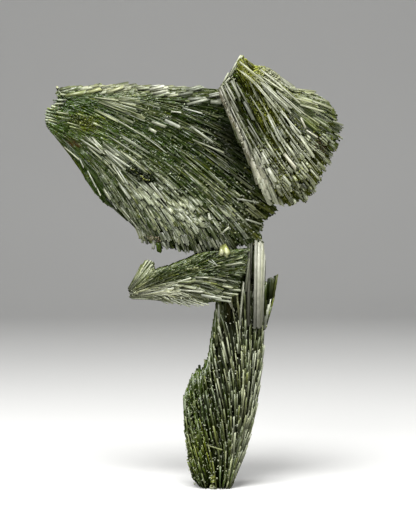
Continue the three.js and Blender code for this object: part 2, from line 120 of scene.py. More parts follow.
BROW_REACH = 0.3  # share of a sheaf over which a lowered first edge fades out
FACE_DEPTH = {"front": -1.0, "back": 1.0}
EDGE_RAY = {"first": 0.0, "last": 1.0}
LATTICE = 64  # points along a side of the noise
COLUMNS = 256  # of packets before they repeat
COLORS = ("pale", "yellow", "dark", "green", "tan", "brown", "white")


def smooth(value, low, high):
    share = np.clip((value - low) / (high - low), 0, 1)
    return share * share * (3 - 2 * share)


def unit(vectors):
    return vectors / np.maximum(np.linalg.norm(vectors, axis=-1, keepdims=True), 1e-12)


def along_curve(points, count):
    """count + 1 points at even distances along the smooth curve through some points."""
    held = np.vstack([points[:1], points, points[-1:]])
    place = np.linspace(0, len(points) - 1, CURVE_STEPS * (len(points) - 1) + 1)
    i = np.minimum(place.astype(int), len(points) - 2)
    w = (place - i)[:, None]
    p0, p1, p2, p3 = held[i], held[i + 1], held[i + 2], held[i + 3]
    v0 = (p2 - p0) / 2
    v1 = (p3 - p1) / 2
    curve = (2 * p1 - 2 * p2 + v0 + v1) * w**3 + (3 * p2 - 3 * p1 - 2 * v0 - v1) * w**2
    curve += v0 * w + p1
    run = np.concatenate([[0], np.cumsum(np.linalg.norm(np.diff(curve, axis=0), axis=1))])
    even = np.linspace(0, run[-1], count + 1)
    return np.stack([np.interp(even, run, curve[:, k]) for k in (0, 1)], axis=-1)


def ripple(x, y, seed):
    """Smooth noise from -1 to 1 with one bump a unit."""
    lattice = np.random.default_rng(seed).uniform(-1, 1, (LATTICE, LATTICE))
    i = np.floor(x).astype(int)
    j = np.floor(y).astype(int)
    u = smooth(x - i, 0, 1)
    v = smooth(y - j, 0, 1)
    at = lambda a, b: lattice[(i + a) % LATTICE, (j + b) % LATTICE]
    return (at(0, 0) * (1 - u) + at(1, 0) * u) * (1 - v) + (at(0, 1) * (1 - u) + at(1, 1) * u) * v


def packets(x, y, seed):
    """Noise from -1 to 1 that is the same all over each uneven cell, about one unit a side."""
    dice = np.random.default_rng(seed)
    shift = dice.uniform(0, LATTICE, COLUMNS)
    lattice = dice.uniform(-1, 1, (COLUMNS, LATTICE))
    i = np.floor(x + 0.35 * ripple(x, y, seed + 1)).astype(int) % COLUMNS
    j = np.floor(y + shift[i]).astype(int) % LATTICE
    return lattice[i, j]


def profile(*points):
    """The line through some points, as a function."""
    places, values = zip(*points)
    return lambda place: np.interp(place, places, values)


ZERO = profile((0, 0))  # the same at every place
ONE = profile((0, 1))


def teeth(place, count, seed):
    """Random heights from 0 to 1, one for each of count uneven cells between 0 and 1."""
    dice = np.random.default_rng(seed)
    edges = np.sort(dice.uniform(0, 1, count - 1))
    return dice.uniform(0, 1, count)[np.searchsorted(edges, place)]


def thin_edges(first, last, reach):
    """Thins a sheaf towards its first edge and its last edge, over a share of its breadth."""
    def share(across):
        rise = np.sin(math.pi / 2 * np.minimum(1, across / reach))
        fall = np.sin(math.pi / 2 * np.minimum(1, (1 - across) / reach))
        return (first + (1 - first) * rise) * (last + (1 - last) * fall)
    return share


def thin_tips(along):
    return 1 - 0.4 * smooth(along, 0.78, 1) ** 2


class Sheaf:
    """A row of rays. A place in it is a share across the rays, a share along them and a depth
    from -1, the front, to 1, the back. brow lowers the first edge, as a share at each place
    along. lean is how many degrees the crystals turn from their ray towards the next, for each
    share. heel is where the crystals begin along each ray, and rim where they end, cut by a
    number of teeth of some depth.
    hollows are dents in the front: share, place along, half width, half length, depth in mm."""

    def __init__(self, rays, half, middle, edge, seed, brow=ZERO, lean=ZERO, heel=ZERO,
                 rim=ONE, notch=(0.04, 30), hollows=()):
        self.rays = np.stack([along_curve(MM * np.array(ray), STEPS) for ray in rays])
        self.half = half
        self.middle = middle
        self.edge = edge
        self.seed = seed
        self.brow = brow
        self.lean = lean
        self.heel = heel
        self.rim = rim
        self.notch, self.notches = notch
        self.hollows = hollows
        self.dice = np.random.default_rng(seed)
        self.length = np.linalg.norm(np.diff(self.rays, axis=1), axis=-1).sum(1)
        self.places = np.linspace(0, 1, SLICES)
        self.widths = [self.breadth("front", place) for place in self.places]

    def thick(self, across, along):
        return self.half(along) * self.edge(np.clip(across, 0, 1))

    def at(self, across, along, depth):
        lowered = across + self.brow(along) * np.clip(1 - across / BROW_REACH, 0, 1)
        row = np.clip(lowered, 0, 1) * (len(self.rays) - 1)
        column = along * STEPS  # past a ray's ends it goes straight on
        i = np.minimum(row.astype(int), len(self.rays) - 2)
        j = np.clip(column.astype(int), 0, STEPS - 1)
        u = (row - i)[..., None]
        v = (column - j)[..., None]
        low = self.rays[i, j] * (1 - v) + self.rays[i, j + 1] * v
        high = self.rays[i + 1, j] * (1 - v) + self.rays[i + 1, j + 1] * v
        flat = low * (1 - u) + high * u
        y = self.middle(flat[..., 0]) + depth * self.thick(across, along)
        y += self.dent(across, along) * np.clip(-depth, 0, 1)
        return np.stack([flat[..., 0], y, flat[..., 1]], axis=-1)

    def dent(self, share, along):
        deep = 0 * share
        for at_share, at_along, wide, long, depth in self.hollows:
            gap = ((share - at_share) / wide) ** 2 + ((along - at_along) / long) ** 2
            deep = deep + depth * MM * np.exp(-gap)
        return deep

    def reach(self, share, depth=-1.0):
        """Where the crystals end along a ray: the front ones reach furthest."""
        cut = self.notch * teeth(share, self.notches, self.seed) ** 1.5
        return self.rim(share) - cut - 0.02 * (depth + 1)

    def drift(self, side, share, along):
        """How fast the share rises along a crystal that leans across the rays."""
        if side in EDGE_RAY:
            return 0 * share
        angle = self.lean(share) * DEGREE * smooth(along, 0, LEAN_START)
        return np.tan(angle) * self.ray_length(share) / np.interp(along, self.places, self.widths)

    def ray_length(self, across):
        row = np.linspace(0, 1, len(self.length))
        return np.interp(across, row, self.length)

    def surface(self, side, share, along):
        """A place on one side of the sheaf: front, back, or the edge of its first or last ray."""
        if side in EDGE_RAY:
            return self.at(EDGE_RAY[side] + 0 * share, along, 2 * share - 1)
        return self.at(share, along, FACE_DEPTH[side] + 0 * share)

    def outward(self, side, share, along):
        step = 0.02
        a = self.surface(side, np.minimum(share + step, 1), along)
        a -= self.surface(side, np.maximum(share - step, 0), along)
        b = self.surface(side, share, np.minimum(along + step, 1))
        b -= self.surface(side, share, np.maximum(along - step, 0))
        out = unit(np.cross(a, b))
        if side in FACE_DEPTH:
            wrong = out[:, 1] * FACE_DEPTH[side] < 0
        else:
            inner = self.at(0.5 + 0 * share, along, 0 * share)
            wrong = ((self.surface(side, share, along) - inner) * out).sum(-1) < 0
        out[wrong] *= -1
        return out

    def breadth(self, side, along):
        share = np.linspace(0, 1, SAMPLES)
        line = self.surface(side, share, along + 0 * share)
        return np.linalg.norm(np.diff(line, axis=0), axis=1).sum()


def gather(parts):
    return {key: np.concatenate([part[key] for part in parts]) for key in parts[0]}


def look(count, **amounts):
    """The amounts of the colours for count crystals, each one number or one a crystal."""
    return np.stack([amounts.get(color, 0) + np.zeros(count) for color in COLORS], axis=1)


def ray_of(side, share):
    """The share across the rays, which is the same all over an edge."""
    return EDGE_RAY[side] + 0 * share if side in EDGE_RAY else share


def rods(sheaf, side, roots, tips, *, width, thick, proud, sink, roll, tone, tint):
    """Crystals from roots to tips, each a pair of arrays: shares and places along. proud is how
    far each tip stands out of the surface and sink how far its root lies below that. tint is
    what the group adds to the colours of its place."""
    ray = ray_of(side, roots[0])
    roots = (roots[0], np.maximum(roots[1], sheaf.heel(ray)))
    share = (roots[0] + tips[0]) / 2
    along = (roots[1] + tips[1]) / 2
    out = sheaf.outward(side, np.clip(share, 0, 1), np.clip(along, 0, 1))
    straight = out * [0, 1, 0] if side in FACE_DEPTH else out
    root = sheaf.surface(side, roots[0], roots[1]) + raised(out, straight, proud - sink)
    tip = sheaf.surface(side, tips[0], tips[1]) + raised(out, straight, proud)
    return {"root": root, "tip": tip, "out": out, "width": width, "thick": thick, "roll": roll,
            "tone": tone, "tint": look(len(tone), **tint)}


def raised(out, straight, height):
    """Heights above a surface go along out. Depths below it go along straight."""
    height = height[:, None]
    return out * np.maximum(height, 0) + straight * np.minimum(height, 0)


def any_of(dice, span, count, skew=False):
    """Numbers in a span, or ones spread evenly in their logarithms."""
    if skew:
        return np.exp(dice.uniform(math.log(span[0]), math.log(span[1]), count))
    return dice.uniform(span[0], span[1], count)


def thatch(sheaf, courses, spacing, length, width, seed, *, side="front", low=0.0, high=1.0,
           start=0.0, end=1.0, rise=0.0, wild=0.5, relief=0.6, sink=0.7, flat=(0.6, 1.0), **tint):
    """Single crystals laid over one side like thatch. All sizes in millimetres."""
    dice = sheaf.dice
    shares = []
    tips = []
    step = (end - start) / courses
    for line in start + step * (np.arange(courses) + 1):
        room = sheaf.breadth(side, line) * (high - low)
        count = max(2, round(room / (spacing * MM)))
        shares.append(low + (high - low) * (np.arange(count) + dice.uniform(0, 1, count)) / count)
        tips.append(line - step * dice.uniform(0, 1, count))
    share = np.concatenate(shares)
    n = len(share)
    ray = ray_of(side, share)
    tip_along = np.concatenate(tips) * sheaf.reach(ray, FACE_DEPTH.get(side, 0.0))
    root_along = tip_along - MM * any_of(dice, length, n) / sheaf.ray_length(ray)
    run = sheaf.length.mean()
    column = share * sheaf.breadth(side, 0.7) / (PACKET_WIDTH * (high - low))
    row = tip_along * run / PACKET_LENGTH
    lumps = packets(column, row, seed)
    height = rise + relief * lumps + wild * (0.6 - 2.2 * dice.uniform(0, 1, n) ** 1.5)
    # Crystals that lie lower get a lower tone, which darkens them: painted shade of their depth
    tone = 0.5 + 0.3 * packets(column, row, seed + 2) + 0.35 * (height - rise)
    tone = np.clip(tone + dice.uniform(-0.2, 0.2, n), 0, 1)
    roll = 0.6 * packets(column, row, seed + 3)
    wide = MM * any_of(dice, width, n, skew=True)
    back = sheaf.drift(side, share, tip_along) * (tip_along - root_along)
    root_share = np.clip(share - back + dice.normal(0, 0.004, n), 0, 1)
    return rods(sheaf, side, (root_share, root_along), (share, tip_along), width=wide,
                thick=wide * any_of(dice, flat, n), proud=MM * height, sink=MM * sink,
                roll=roll + dice.normal(0, 0.12, n), tone=tone, tint=tint)


def bundles(sheaf, count, breadth, spacing, length, width, rise, *, side="front", low=0.0,
            high=1.0, start=0.0, end=1.0, sink=0.9, dome=0.5, **tint):
    """Bundles of crystals whose tips end side by side in a step. All sizes in millimetres."""
    dice = sheaf.dice
    wide = any_of(dice, breadth, count)
    members = np.maximum(2, np.round(wide / spacing).astype(int))
    owner = np.repeat(np.arange(count), members)
    n = len(owner)
    first = np.concatenate([[0], np.cumsum(members)[:-1]])
    place = (np.arange(n) - first[owner] + dice.uniform(0.3, 0.7, n)) / members[owner] - 0.5
    tip_line = any_of(dice, (start, end), count)
    room = np.array([sheaf.breadth(side, line) for line in tip_line]) / MM
    centre = low + (high - low) * (np.arange(count) + dice.uniform(0, 1, count)) / count
    share = np.clip(centre[owner] + place * (wide / room)[owner], 0, 1)
    ray = ray_of(side, share)
    run = sheaf.ray_length(ray) / MM
    tip_along = tip_line[owner] * sheaf.reach(ray, FACE_DEPTH.get(side, 0.0))
    tip_along -= UNEVEN_TIPS * dice.uniform(0, 1, n) / run
    proud = any_of(dice, rise, count)[owner] - dome * (2 * place) ** 2 * dice.uniform(0.3, 1, n)
    proud += dice.uniform(-0.25, 0.2, n)
    long = any_of(dice, length, count)[owner] * dice.uniform(0.85, 1.1, n)
    tone = np.clip(dice.uniform(0.3, 1, count)[owner] + dice.uniform(-0.3, 0.25, n), 0, 1)
    roll = dice.uniform(-0.6, 0.6, count)[owner] + dice.normal(0, 0.08, n)
    each = MM * any_of(dice, width, n, skew=True)
    root_along = tip_along - long / run
    back = sheaf.drift(side, share, tip_along) * (tip_along - root_along)
    root_share = np.clip(share - back + dice.normal(0, 0.002, n), 0, 1)
    return rods(sheaf, side, (root_share, root_along), (share, tip_along), width=each,
                thick=each * dice.uniform(0.7, 1.0, n), proud=MM * proud,
                sink=MM * sink, roll=roll, tone=tone, tint=tint)


def ridges(sheaf, count, width, rise, *, side="front", forks=(0.0,), cut=0.15, strands=2,
           low=0.0, high=1.0, end=1.0, link=(7, 14), sink=0.5, **tint):
    """Long ridges of crystals set end over end along the rays, with gaps between the ridges.
    They begin at the forks, places along taken in turn, and stop up to cut short of the end.
    All sizes in millimetres."""
    dice = sheaf.dice
    rows = []
    for k in range(count):
        share = low + (high - low) * (k + dice.uniform(0.25, 0.75)) / count
        run = sheaf.ray_length(share) / MM
        tip = end * float(sheaf.reach(share)) - cut * dice.uniform(0, 1) ** 2
        root = max(0.0, forks[k % len(forks)] + dice.uniform(-0.05, 0.05))
        wide = dice.uniform(*width)
        high_up = dice.uniform(*rise)
        lie = dice.uniform(-0.5, 0.5)
        tone = dice.uniform(0.35, 1.0)
        place = tip
        while place > root:
            step = dice.uniform(*link) / run
            slope = float(sheaf.drift(side, share, place))
            for strand in range(strands):
                off = (strand - (strands - 1) / 2) * wide / strands * MM
                off = off / sheaf.breadth(side, min(1.0, place)) + dice.normal(0, 0.001)
                rows.append((share - slope * step + off, place - step, share + off,
                             place - dice.uniform(0, 0.2) * step,
                             wide / strands * dice.uniform(0.65, 1.0),
                             high_up + dice.uniform(-0.25, 0.2), lie + dice.normal(0, 0.12),
                             tone + dice.uniform(-0.25, 0.25)))
            place -= LINK_SHARE * step
            share -= slope * LINK_SHARE * step
    root_share, root_along, tip_share, tip_along, wide, proud, roll, tone = np.array(rows).T
    return rods(sheaf, side, (np.clip(root_share, 0, 1), root_along),
                (np.clip(tip_share, 0, 1), tip_along), width=MM * wide, thick=MM * wide * 0.9,
                proud=MM * proud, sink=MM * sink, roll=roll,
                tone=np.clip(tone, 0, 1), tint=tint)


def blades(sheaf, *rows, sink=0.2, flat=0.5, strands=1, **tint):
    """Crystals laid one by one on the front. Each row has the root's share and place along and
    the tip's, in percent, then the width and the rise in millimetres. strands parts each of them
    lengthwise."""
    dice = sheaf.dice
    table = np.repeat(np.array(rows) / [100, 100, 100, 100, 1, 1], strands, axis=0)
    n = len(table)
    root_share, root_along, tip_share, tip_along, wide, proud = table.T
    part = np.tile((np.arange(strands) + 0.5) / strands - 0.5, len(rows))
    breadth = np.array([sheaf.breadth("front", min(1, max(0, line))) for line in tip_along])
    off = part * wide * MM / breadth
    uneven = 0.02 * (strands > 1)
    return rods(sheaf, "front", (root_share + off, root_along + dice.uniform(-uneven, uneven, n)),
                (tip_share + off, tip_along + dice.uniform(-uneven, uneven, n)),
                width=MM * wide / strands, thick=MM * wide * flat,
                proud=MM * (proud + (strands > 1) * dice.uniform(-0.2, 0.1, n)),
                sink=MM * sink, roll=dice.uniform(-0.2, 0.2, n),
                tone=dice.uniform(0.7, 1, n), tint=tint)


def nodules(sheaf, count, share, along, size, rise, *, side="front", **tint):
    """Small stout crystals that lie every way on a patch of one side. Sizes in millimetres."""
    dice = sheaf.dice
    across = any_of(dice, share, count)
    place = any_of(dice, along, count)
    if side not in EDGE_RAY:
        place = np.minimum(place, sheaf.reach(across) - 0.02)
    long = MM * any_of(dice, size, count)
    tip = sheaf.surface(side, across, place)
    out = sheaf.outward(side, across, place)
    heading = unit(dice.normal(0, 1, (count, 3)) + 0.8 * out)
    tip = tip + out * (MM * rise) + heading * long[:, None] * 0.4
    return {"root": tip - heading * long[:, None], "tip": tip, "out": unit(out + 0.01),
            "width": long * 0.6, "thick": long * 0.5, "roll": dice.uniform(-0.8, 0.8, count),
            "tone": dice.uniform(0.4, 1, count), "tint": look(count, **tint)}


def bristle(sheaf, spacing, length, width, *, ragged=0.03, end=1.0, **tint):
    """Crystals inside the thickness whose tips make the far end, or the near end where end
    is 0."""
    dice = sheaf.dice
    columns = round(sheaf.breadth("front", end) / (spacing * MM))
    across = []
    depth = []
    for column in (np.arange(columns) + 0.5) / columns:
        layers = max(2, round(2 * float(sheaf.thick(column, end)) / (spacing * MM)))
        across.append(np.clip(column + dice.uniform(-0.5, 0.5, layers) / columns, 0, 1))
        depth.append(2 * (np.arange(layers) + dice.uniform(0, 1, layers)) / layers - 1)
    across = np.concatenate(across)
    depth = np.concatenate(depth) * FILLED
    n = len(across)
    long = MM * any_of(dice, length, n) / sheaf.ray_length(across)
    wide = MM * any_of(dice, width, n, skew=True)
    clump = 0.5 + 0.5 * ripple(across * CLUMPS, depth * 2, CLUMP_SEED)
    back = ragged * (0.5 * clump + 0.5 * dice.uniform(0, 1, n))
    if end > 0.5:
        tip_along = sheaf.reach(across, depth) - back
        root_along = tip_along - long
    else:
        step = teeth(across, NEAR_TEETH, sheaf.seed + 1) - 0.1
        tip_along = sheaf.heel(across) + back + ragged * step
        root_along = tip_along + long
    out = np.zeros((n, 3))
    out[:, 1] = np.where(depth < 0, -1.0, 1.0)
    return {"root": sheaf.at(across, root_along, depth), "tip": sheaf.at(across, tip_along, depth),
            "out": out, "width": wide, "thick": wide * dice.uniform(0.6, 1, n),
            "roll": dice.uniform(-0.8, 0.8, n), "tone": dice.uniform(0, 1, n),
            "tint": look(n, **tint)}


# One crystal has corners round its root, the same round its tip, and a peak
ROUND = np.arange(SIDES)
NEXT = (ROUND + 1) % SIDES
PEAK = 2 * SIDES
POINTS = PEAK + 1
FLANKS = np.stack([ROUND, NEXT, SIDES + NEXT, SIDES + ROUND], axis=1)
TIP_FACES = np.stack([SIDES + ROUND, SIDES + NEXT, PEAK + 0 * ROUND], axis=1)
CORNERS = np.concatenate([FLANKS.ravel(), TIP_FACES.ravel(), ROUND[::-1]])
FACE_SIZES = [4] * SIDES + [3] * SIDES + [SIDES]
AT_FLANKS = slice(0, 4 * SIDES)  # where the side faces' corners are in CORNERS
AT_TIP = slice(4 * SIDES, 7 * SIDES)
AT_ROOT = slice(7 * SIDES, None)
ROOT_TAPER = 0.85  # size of the root beside the middle
CORNER_SHIFT = 0.1  # the most that a corner is off its place, as a share of width or thickness

# The places of a crystal's faces in its square of the baking map, which is 1 wide
FLANK_TOP = 0.78
TIP_PLACE = (0.2, 0.89)
ROOT_PLACE = (0.6, 0.89)
END_RADIUS = 0.08
SQUARE_MARGIN = 0.06


def crystal_points(dice, grown, long):
    """The points of every crystal, with an uneven outline and a slanted or pointed tip."""
    n = len(long)
    axis = unit(grown["tip"] - grown["root"])
    side = unit(np.cross(axis, grown["out"]))
    face = np.cross(side, axis)
    width = grown["width"][:, None]
    corner_x = [0.5, -0.5, -0.5, 0.5] + dice.uniform(-CORNER_SHIFT, CORNER_SHIFT, (n, SIDES))
    corner_y = [0.5, 0.5, -0.5, -0.5] + dice.uniform(-CORNER_SHIFT, CORNER_SHIFT, (n, SIDES))
    corner_x *= width
    corner_y *= grown["thick"][:, None]
    cosine = np.cos(grown["roll"])[:, None]
    sine = np.sin(grown["roll"])[:, None]
    x = corner_x * cosine - corner_y * sine
    y = corner_x * sine + corner_y * cosine
    slant = dice.uniform(-0.8, 0.8, (n, 1))  # slopes of the tip, sideways and outwards
    lean = dice.uniform(-0.3, 0.7, (n, 1))
    peak = dice.choice([0.0, 0.3], (n, 1), p=[0.7, 0.3]) * width  # three in ten are pointed
    taper = dice.uniform(0.88, 1.0, (n, 1))
    local = np.zeros((n, POINTS, 3))
    local[:, :SIDES, 0] = x * ROOT_TAPER
    local[:, :SIDES, 1] = y * ROOT_TAPER
    local[:, SIDES:PEAK, 0] = x * taper
    local[:, SIDES:PEAK, 1] = y * taper
    local[:, SIDES:PEAK, 2] = long[:, None] + slant * x * taper - lean * y * taper - peak
    local[:, PEAK, 2] = long
    turn = np.stack([side, face, axis], axis=1)
    points = np.einsum("nvk,nkc->nvc", local, turn) + grown["root"][:, None, :]
    points[..., 2] = np.maximum(points[..., 2], 0)  # cut flat where the cluster stands
    return points


def grain_map(dice, grown, long):
    """Each crystal's own grain, round it and along it in millimetres, with a random start."""
    n = len(long)
    shift = dice.uniform(0, 400, (n, 1, 1))
    low = ROUND / SIDES * 3
    high = low + 3 / SIDES
    width = grown["width"][:, None] / MM
    top = np.repeat(long[:, None] / MM, SIDES, axis=1)
    grain = np.zeros((n, len(CORNERS), 2))
    grain[:, AT_FLANKS, 0] = np.stack([low, high, high, low], axis=1).ravel() * width
    grain[:, AT_FLANKS, 1] = np.stack([0 * top, 0 * top, top, top], axis=2).reshape(n, -1)
    grain[:, AT_TIP, 0] = np.tile([0, 0.5, 0.25], SIDES) * width
    grain[:, AT_TIP, 1] = top[:, :1] + np.tile([0, 0, 0.3], SIDES)
    return grain + shift


def bake_map(n):
    """A square of its own for each of n crystals: its sides below, its tip and root above."""
    columns = math.ceil(math.sqrt(n))
    square = np.stack([np.arange(n) % columns, np.arange(n) // columns], axis=1)[:, None, :]
    low = ROUND / SIDES
    high = low + 1 / SIDES
    turn = 2 * math.pi * low
    ahead = 2 * math.pi * high
    radius = END_RADIUS
    inner = np.zeros((len(CORNERS), 2))
    inner[AT_FLANKS, 0] = np.stack([low, high, high, low], axis=1).ravel()
    inner[AT_FLANKS, 1] = np.tile([0, 0, FLANK_TOP, FLANK_TOP], SIDES)
    across = np.stack([radius * np.cos(turn), radius * np.cos(ahead), 0 * turn], axis=1)
    up = np.stack([radius * np.sin(turn), radius * np.sin(ahead), 0 * turn], axis=1)
    inner[AT_TIP] = TIP_PLACE + np.stack([across.ravel(), up.ravel()], axis=1)
    inner[AT_ROOT] = ROOT_PLACE + radius * np.stack([np.cos(turn), -np.sin(turn)], axis=1)
    return (square + SQUARE_MARGIN + (1 - 2 * SQUARE_MARGIN) * inner) / columns


def write_map(mesh, name, places):
    layer = mesh.uv_layers.new(name=name)
    layer.uv.foreach_set("vector", places.astype(np.float32).ravel())


def write_color(mesh, name, colors):
    data = np.ones((len(colors), 4), dtype=np.float32)
    data[:, :3] = np.clip(colors, 0, 1)
    layer = mesh.color_attributes.new(name=name, type="FLOAT_COLOR", domain="POINT")
    layer.data.foreach_set("color", data.ravel())


def write_looks(mesh, dice, grown, zones):
    """The colours of each crystal, from its place, its group and chance."""
    looks = zones((grown["root"] + grown["tip"]) / 2) + grown["tint"]
    tone = grown["tone"]
    n = len(tone)
    pale = (looks[:, 0] + dice.uniform(-0.28, 0.33, n)) * tone * 1.6
    yellow = looks[:, 1] * dice.uniform(0.2, 1, n) + 0.25 * (dice.uniform(0, 1, n) > 0.93)
    # The dark share is partly painted shade: the low-lying crystals, the hollows and the recesses;
    # the rest is chance
    dark = looks[:, 2] + 0.7 * (1 - tone) ** 2
    write_color(mesh, "tint", np.repeat(np.stack([pale, yellow, dark], axis=1), POINTS, axis=0))
    detail = np.zeros((n, POINTS, 3))  # how near the peak a point is, then green, then chance
    detail[:, SIDES:PEAK, 0] = 0.8
    detail[:, PEAK, 0] = 1
    detail[:, :, 1] = looks[:, 3:4]
    detail[:, :, 2] = dice.uniform(0, 1, (n, 1))
    write_color(mesh, "detail", detail.reshape(-1, 3))
    # Tan and brown stains, and white, which is a painted highlight
    stain_and_highlight = looks[:, 4:7] * dice.uniform(0.5, 1, (n, 1))
    write_color(mesh, "stain_and_highlight", np.repeat(stain_and_highlight, POINTS, axis=0))


def new_object(name, mesh, material):
    mesh.materials.append(material)
    thing = bpy.data.objects.new(name, mesh)
    bpy.context.collection.objects.link(thing)
    return thing


def new_piece(name, mesh, material):
    piece = new_object(name, mesh, material)
    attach(piece, "root")
    return piece


def crystal_piece(name, grown, zones, seed):
    """One mesh of all the crystals in grown, for a node of the part."""
    dice = np.random.default_rng(seed)
    n = len(grown["root"])
    long = np.linalg.norm(grown["tip"] - grown["root"], axis=1)
    corners = CORNERS + POINTS * np.arange(n)[:, None]
    starts = np.concatenate([[0], np.cumsum(FACE_SIZES * n)[:-1]])
    mesh = bpy.data.meshes.new(name)
    mesh.vertices.add(n * POINTS)
    mesh.vertices.foreach_set("co", crystal_points(dice, grown, long).ravel())
    mesh.loops.add(corners.size)
    mesh.loops.foreach_set("vertex_index", corners.ravel().astype(np.int32))
    mesh.polygons.add(len(starts))
    mesh.polygons.foreach_set("loop_start", starts.astype(np.int32))
    mesh.update(calc_edges=True)
    write_map(mesh, "grain", grain_map(dice, grown, long))
    write_map(mesh, "OFBake", bake_map(n))
    write_looks(mesh, dice, grown, zones)
    return new_piece(name, mesh, CRYSTAL)


def bed_piece(name, sheaf, start=BED_START):
    """The closed slab that the fine crystals grow from, seen only in the gaps between them."""
    # Its nearly black colour is painted shade for the gaps
    line = np.linspace(0, 1, BED_STEPS + 1)
    column = np.linspace(start, BED_END, BED_STEPS + 1)
    across, along = np.meshgrid(line, column, indexing="ij")
    thick = np.maximum(sheaf.thick(across, along), 1e-6)
    inset = np.maximum(THINNEST_BED, 1 - BED_DEPTH / thick)
    margin = BED_DEPTH / sheaf.breadth("front", 0.5)
    drawn_in = margin + (1 - 2 * margin) * across
    along = sheaf.heel(drawn_in) * (1 - along) + along * (sheaf.rim(drawn_in) - sheaf.notch)
    sheets = [sheaf.at(drawn_in, along, side * inset) for side in (-1, 1)]
    points = np.concatenate([sheet.reshape(-1, 3) for sheet in sheets])
    front = np.arange(across.size).reshape(across.shape)
    back = front + across.size
    last = BED_STEPS
    faces = []
    for i in range(last):
        for j in range(last):
            faces.append((front[i, j], front[i + 1, j], front[i + 1, j + 1], front[i, j + 1]))
            faces.append((back[i, j], back[i, j + 1], back[i + 1, j + 1], back[i + 1, j]))
        faces.append((front[i, 0], back[i, 0], back[i + 1, 0], front[i + 1, 0]))
        faces.append((front[i + 1, last], back[i + 1, last], back[i, last], front[i, last]))
    for j in range(last):
        faces.append((front[0, j + 1], back[0, j + 1], back[0, j], front[0, j]))
        faces.append((front[last, j], back[last, j], back[last, j + 1], front[last, j + 1]))
    mesh = bpy.data.meshes.new(name)
    mesh.from_pydata(points.tolist(), [], np.array(faces).tolist())
    mesh.update()
    return new_piece(name, mesh, BED)


def patches(points, *rows):
    """The sum of oval patches at points. Each row has a patch's strength, its centre in X and
    Z, its size along and across its length in millimetres, and its turn in degrees."""
    total = np.zeros(len(points))
    for strength, x, z, size, breadth, turn in rows:
        right = points[:, 0] / MM - x
        up = points[:, 2] / MM - z
        cosine, sine = math.cos(turn * DEGREE), math.sin(turn * DEGREE)
        u = (right * cosine + up * sine) / size
        v = (up * cosine - right * sine) / breadth
        total += strength * np.exp(-(u * u + v * v))
    return total


# The colours of the crystals of each sheaf, by the places of their middles. The sage patches are
# partly painted sheen where faces catch the light, and the dark patches are painted shade in
# recesses and gaps.

def broad_zones(middle):
    sage = patches(middle, (0.9, -19, 84, 22, 6, -41), (0.8, -20, 111, 28, 2.6, 0),
                   (0.6, -24, 105.5, 7, 2.6, -12), (0.6, 6, 76, 10, 8, -35))
    green = patches(middle, (1, -36, 103.5, 9, 5, -20), (0.3, -16, 94, 18, 4, -31),
                    (0.8, -39, 90, 3, 14, 33))
    yellow = patches(middle, (0.6, -35.8, 101.2, 4, 2.2, 0), (0.25, -39, 88, 1.5, 12, 33),
                     (0.35, 13, 77, 5, 6, 0))
    # Dark patches: painted shadow of the upper fan in the recess beside it
    dark = patches(middle, (0.9, 4, 98, 6, 8, 0), (0.4, 9, 88, 6, 10, 20),
                   (0.4, -2, 107.5, 8, 2, 0), (0.3, 13, 75, 5, 5, 0))
    # The hollow: painted shade, darker and less pale
    hollow = patches(middle, (1, -20.5, 86.6, 4, 1.9, -30))
    return look(len(middle), pale=0.07 + 0.5 * sage - 0.2 * green - hollow, yellow=yellow,
                dark=dark + 0.6 * hollow, green=green + 0.4,
                tan=patches(middle, (0.5, -28, 110.8, 20, 1.8, 0)),
                brown=patches(middle, (1, -39.7, 96.1, 2.2, 0.9, -15)))


def upper_zones(middle):
    sage = patches(middle, (1, 22, 111, 14, 5, -25), (0.3, 26, 100, 8, 10, 0),
                   (0.3, 17, 88, 8, 10, 30))
    green = patches(middle, (1, 8, 105, 5, 9, 30), (0.8, 29, 100, 5, 8, 20))
    yellow = patches(middle, (1.5, 9.9, 115.4, 3, 4.2, 20), (0.9, 14, 103.5, 3, 3.2, 0),
                     (0.4, 24, 88, 8, 5, 45))
    return look(len(middle), pale=0.13 + 0.4 * sage - 0.25 * green, yellow=yellow + 0.12,
                dark=patches(middle, (0.8, 8.5, 106, 4.5, 7, 40), (0.6, 11, 97, 2.5, 4, 0)),
                green=green + 0.1,
                tan=patches(middle, (0.9, 4.5, 105, 1.5, 9, 22), (0.5, 12, 88, 2.5, 8, 20),
                            (0.6, 17, 114.5, 5, 2.2, -32)))


def spray_zones(middle):
    sage = patches(middle, (0.9, -12, 54.5, 14, 3, 0), (0.8, -20, 58, 2, 6, -30))
    green = patches(middle, (0.4, -5, 61, 10, 3, 15))
    return look(len(middle), pale=0.25 + 0.5 * sage - 0.2 * green,
                yellow=patches(middle, (0.15, -20, 60, 2.5, 5, -30), (0.2, -8, 65, 6, 2, 20)),
                dark=patches(middle, (0.5, 2, 59, 5, 2.5, 0)), green=green + 0.25,
                tan=patches(middle, (0.45, -16, 54, 12, 1.6, 0)))


def stem_zones(middle):
    # The pale band down the right side is painted light that falls from the right
    sage = patches(middle, (1, 8, 22, 2.6, 16, -14), (1.1, 4.5, 42, 5, 12, 0))
    green = patches(middle, (0.9, -4, 14, 5, 14, 10))
    return look(len(middle), pale=0.05 + 0.5 * sage - 0.15 * green,
                yellow=patches(middle, (0.35, -3, 10, 5, 8, 0)) + 0.05,
                dark=patches(middle, (0.9, 10, 56, 1.4, 12, 0), (0.4, 1.5, 22, 4, 12, 0)),
                green=green + 0.4, tan=0.1 * sage,
                brown=patches(middle, (0.5, 5, 51, 2, 3, 0), (0.4, 3, 42, 1, 2, 0)))


def splinter_zones(middle):
    dark = patches(middle, (0.9, 15, 57, 2.2, 3, 0))
    return look(len(middle), pale=0.35 - 0.3 * dark, yellow=0.05, dark=dark, green=0.3)


# Materials

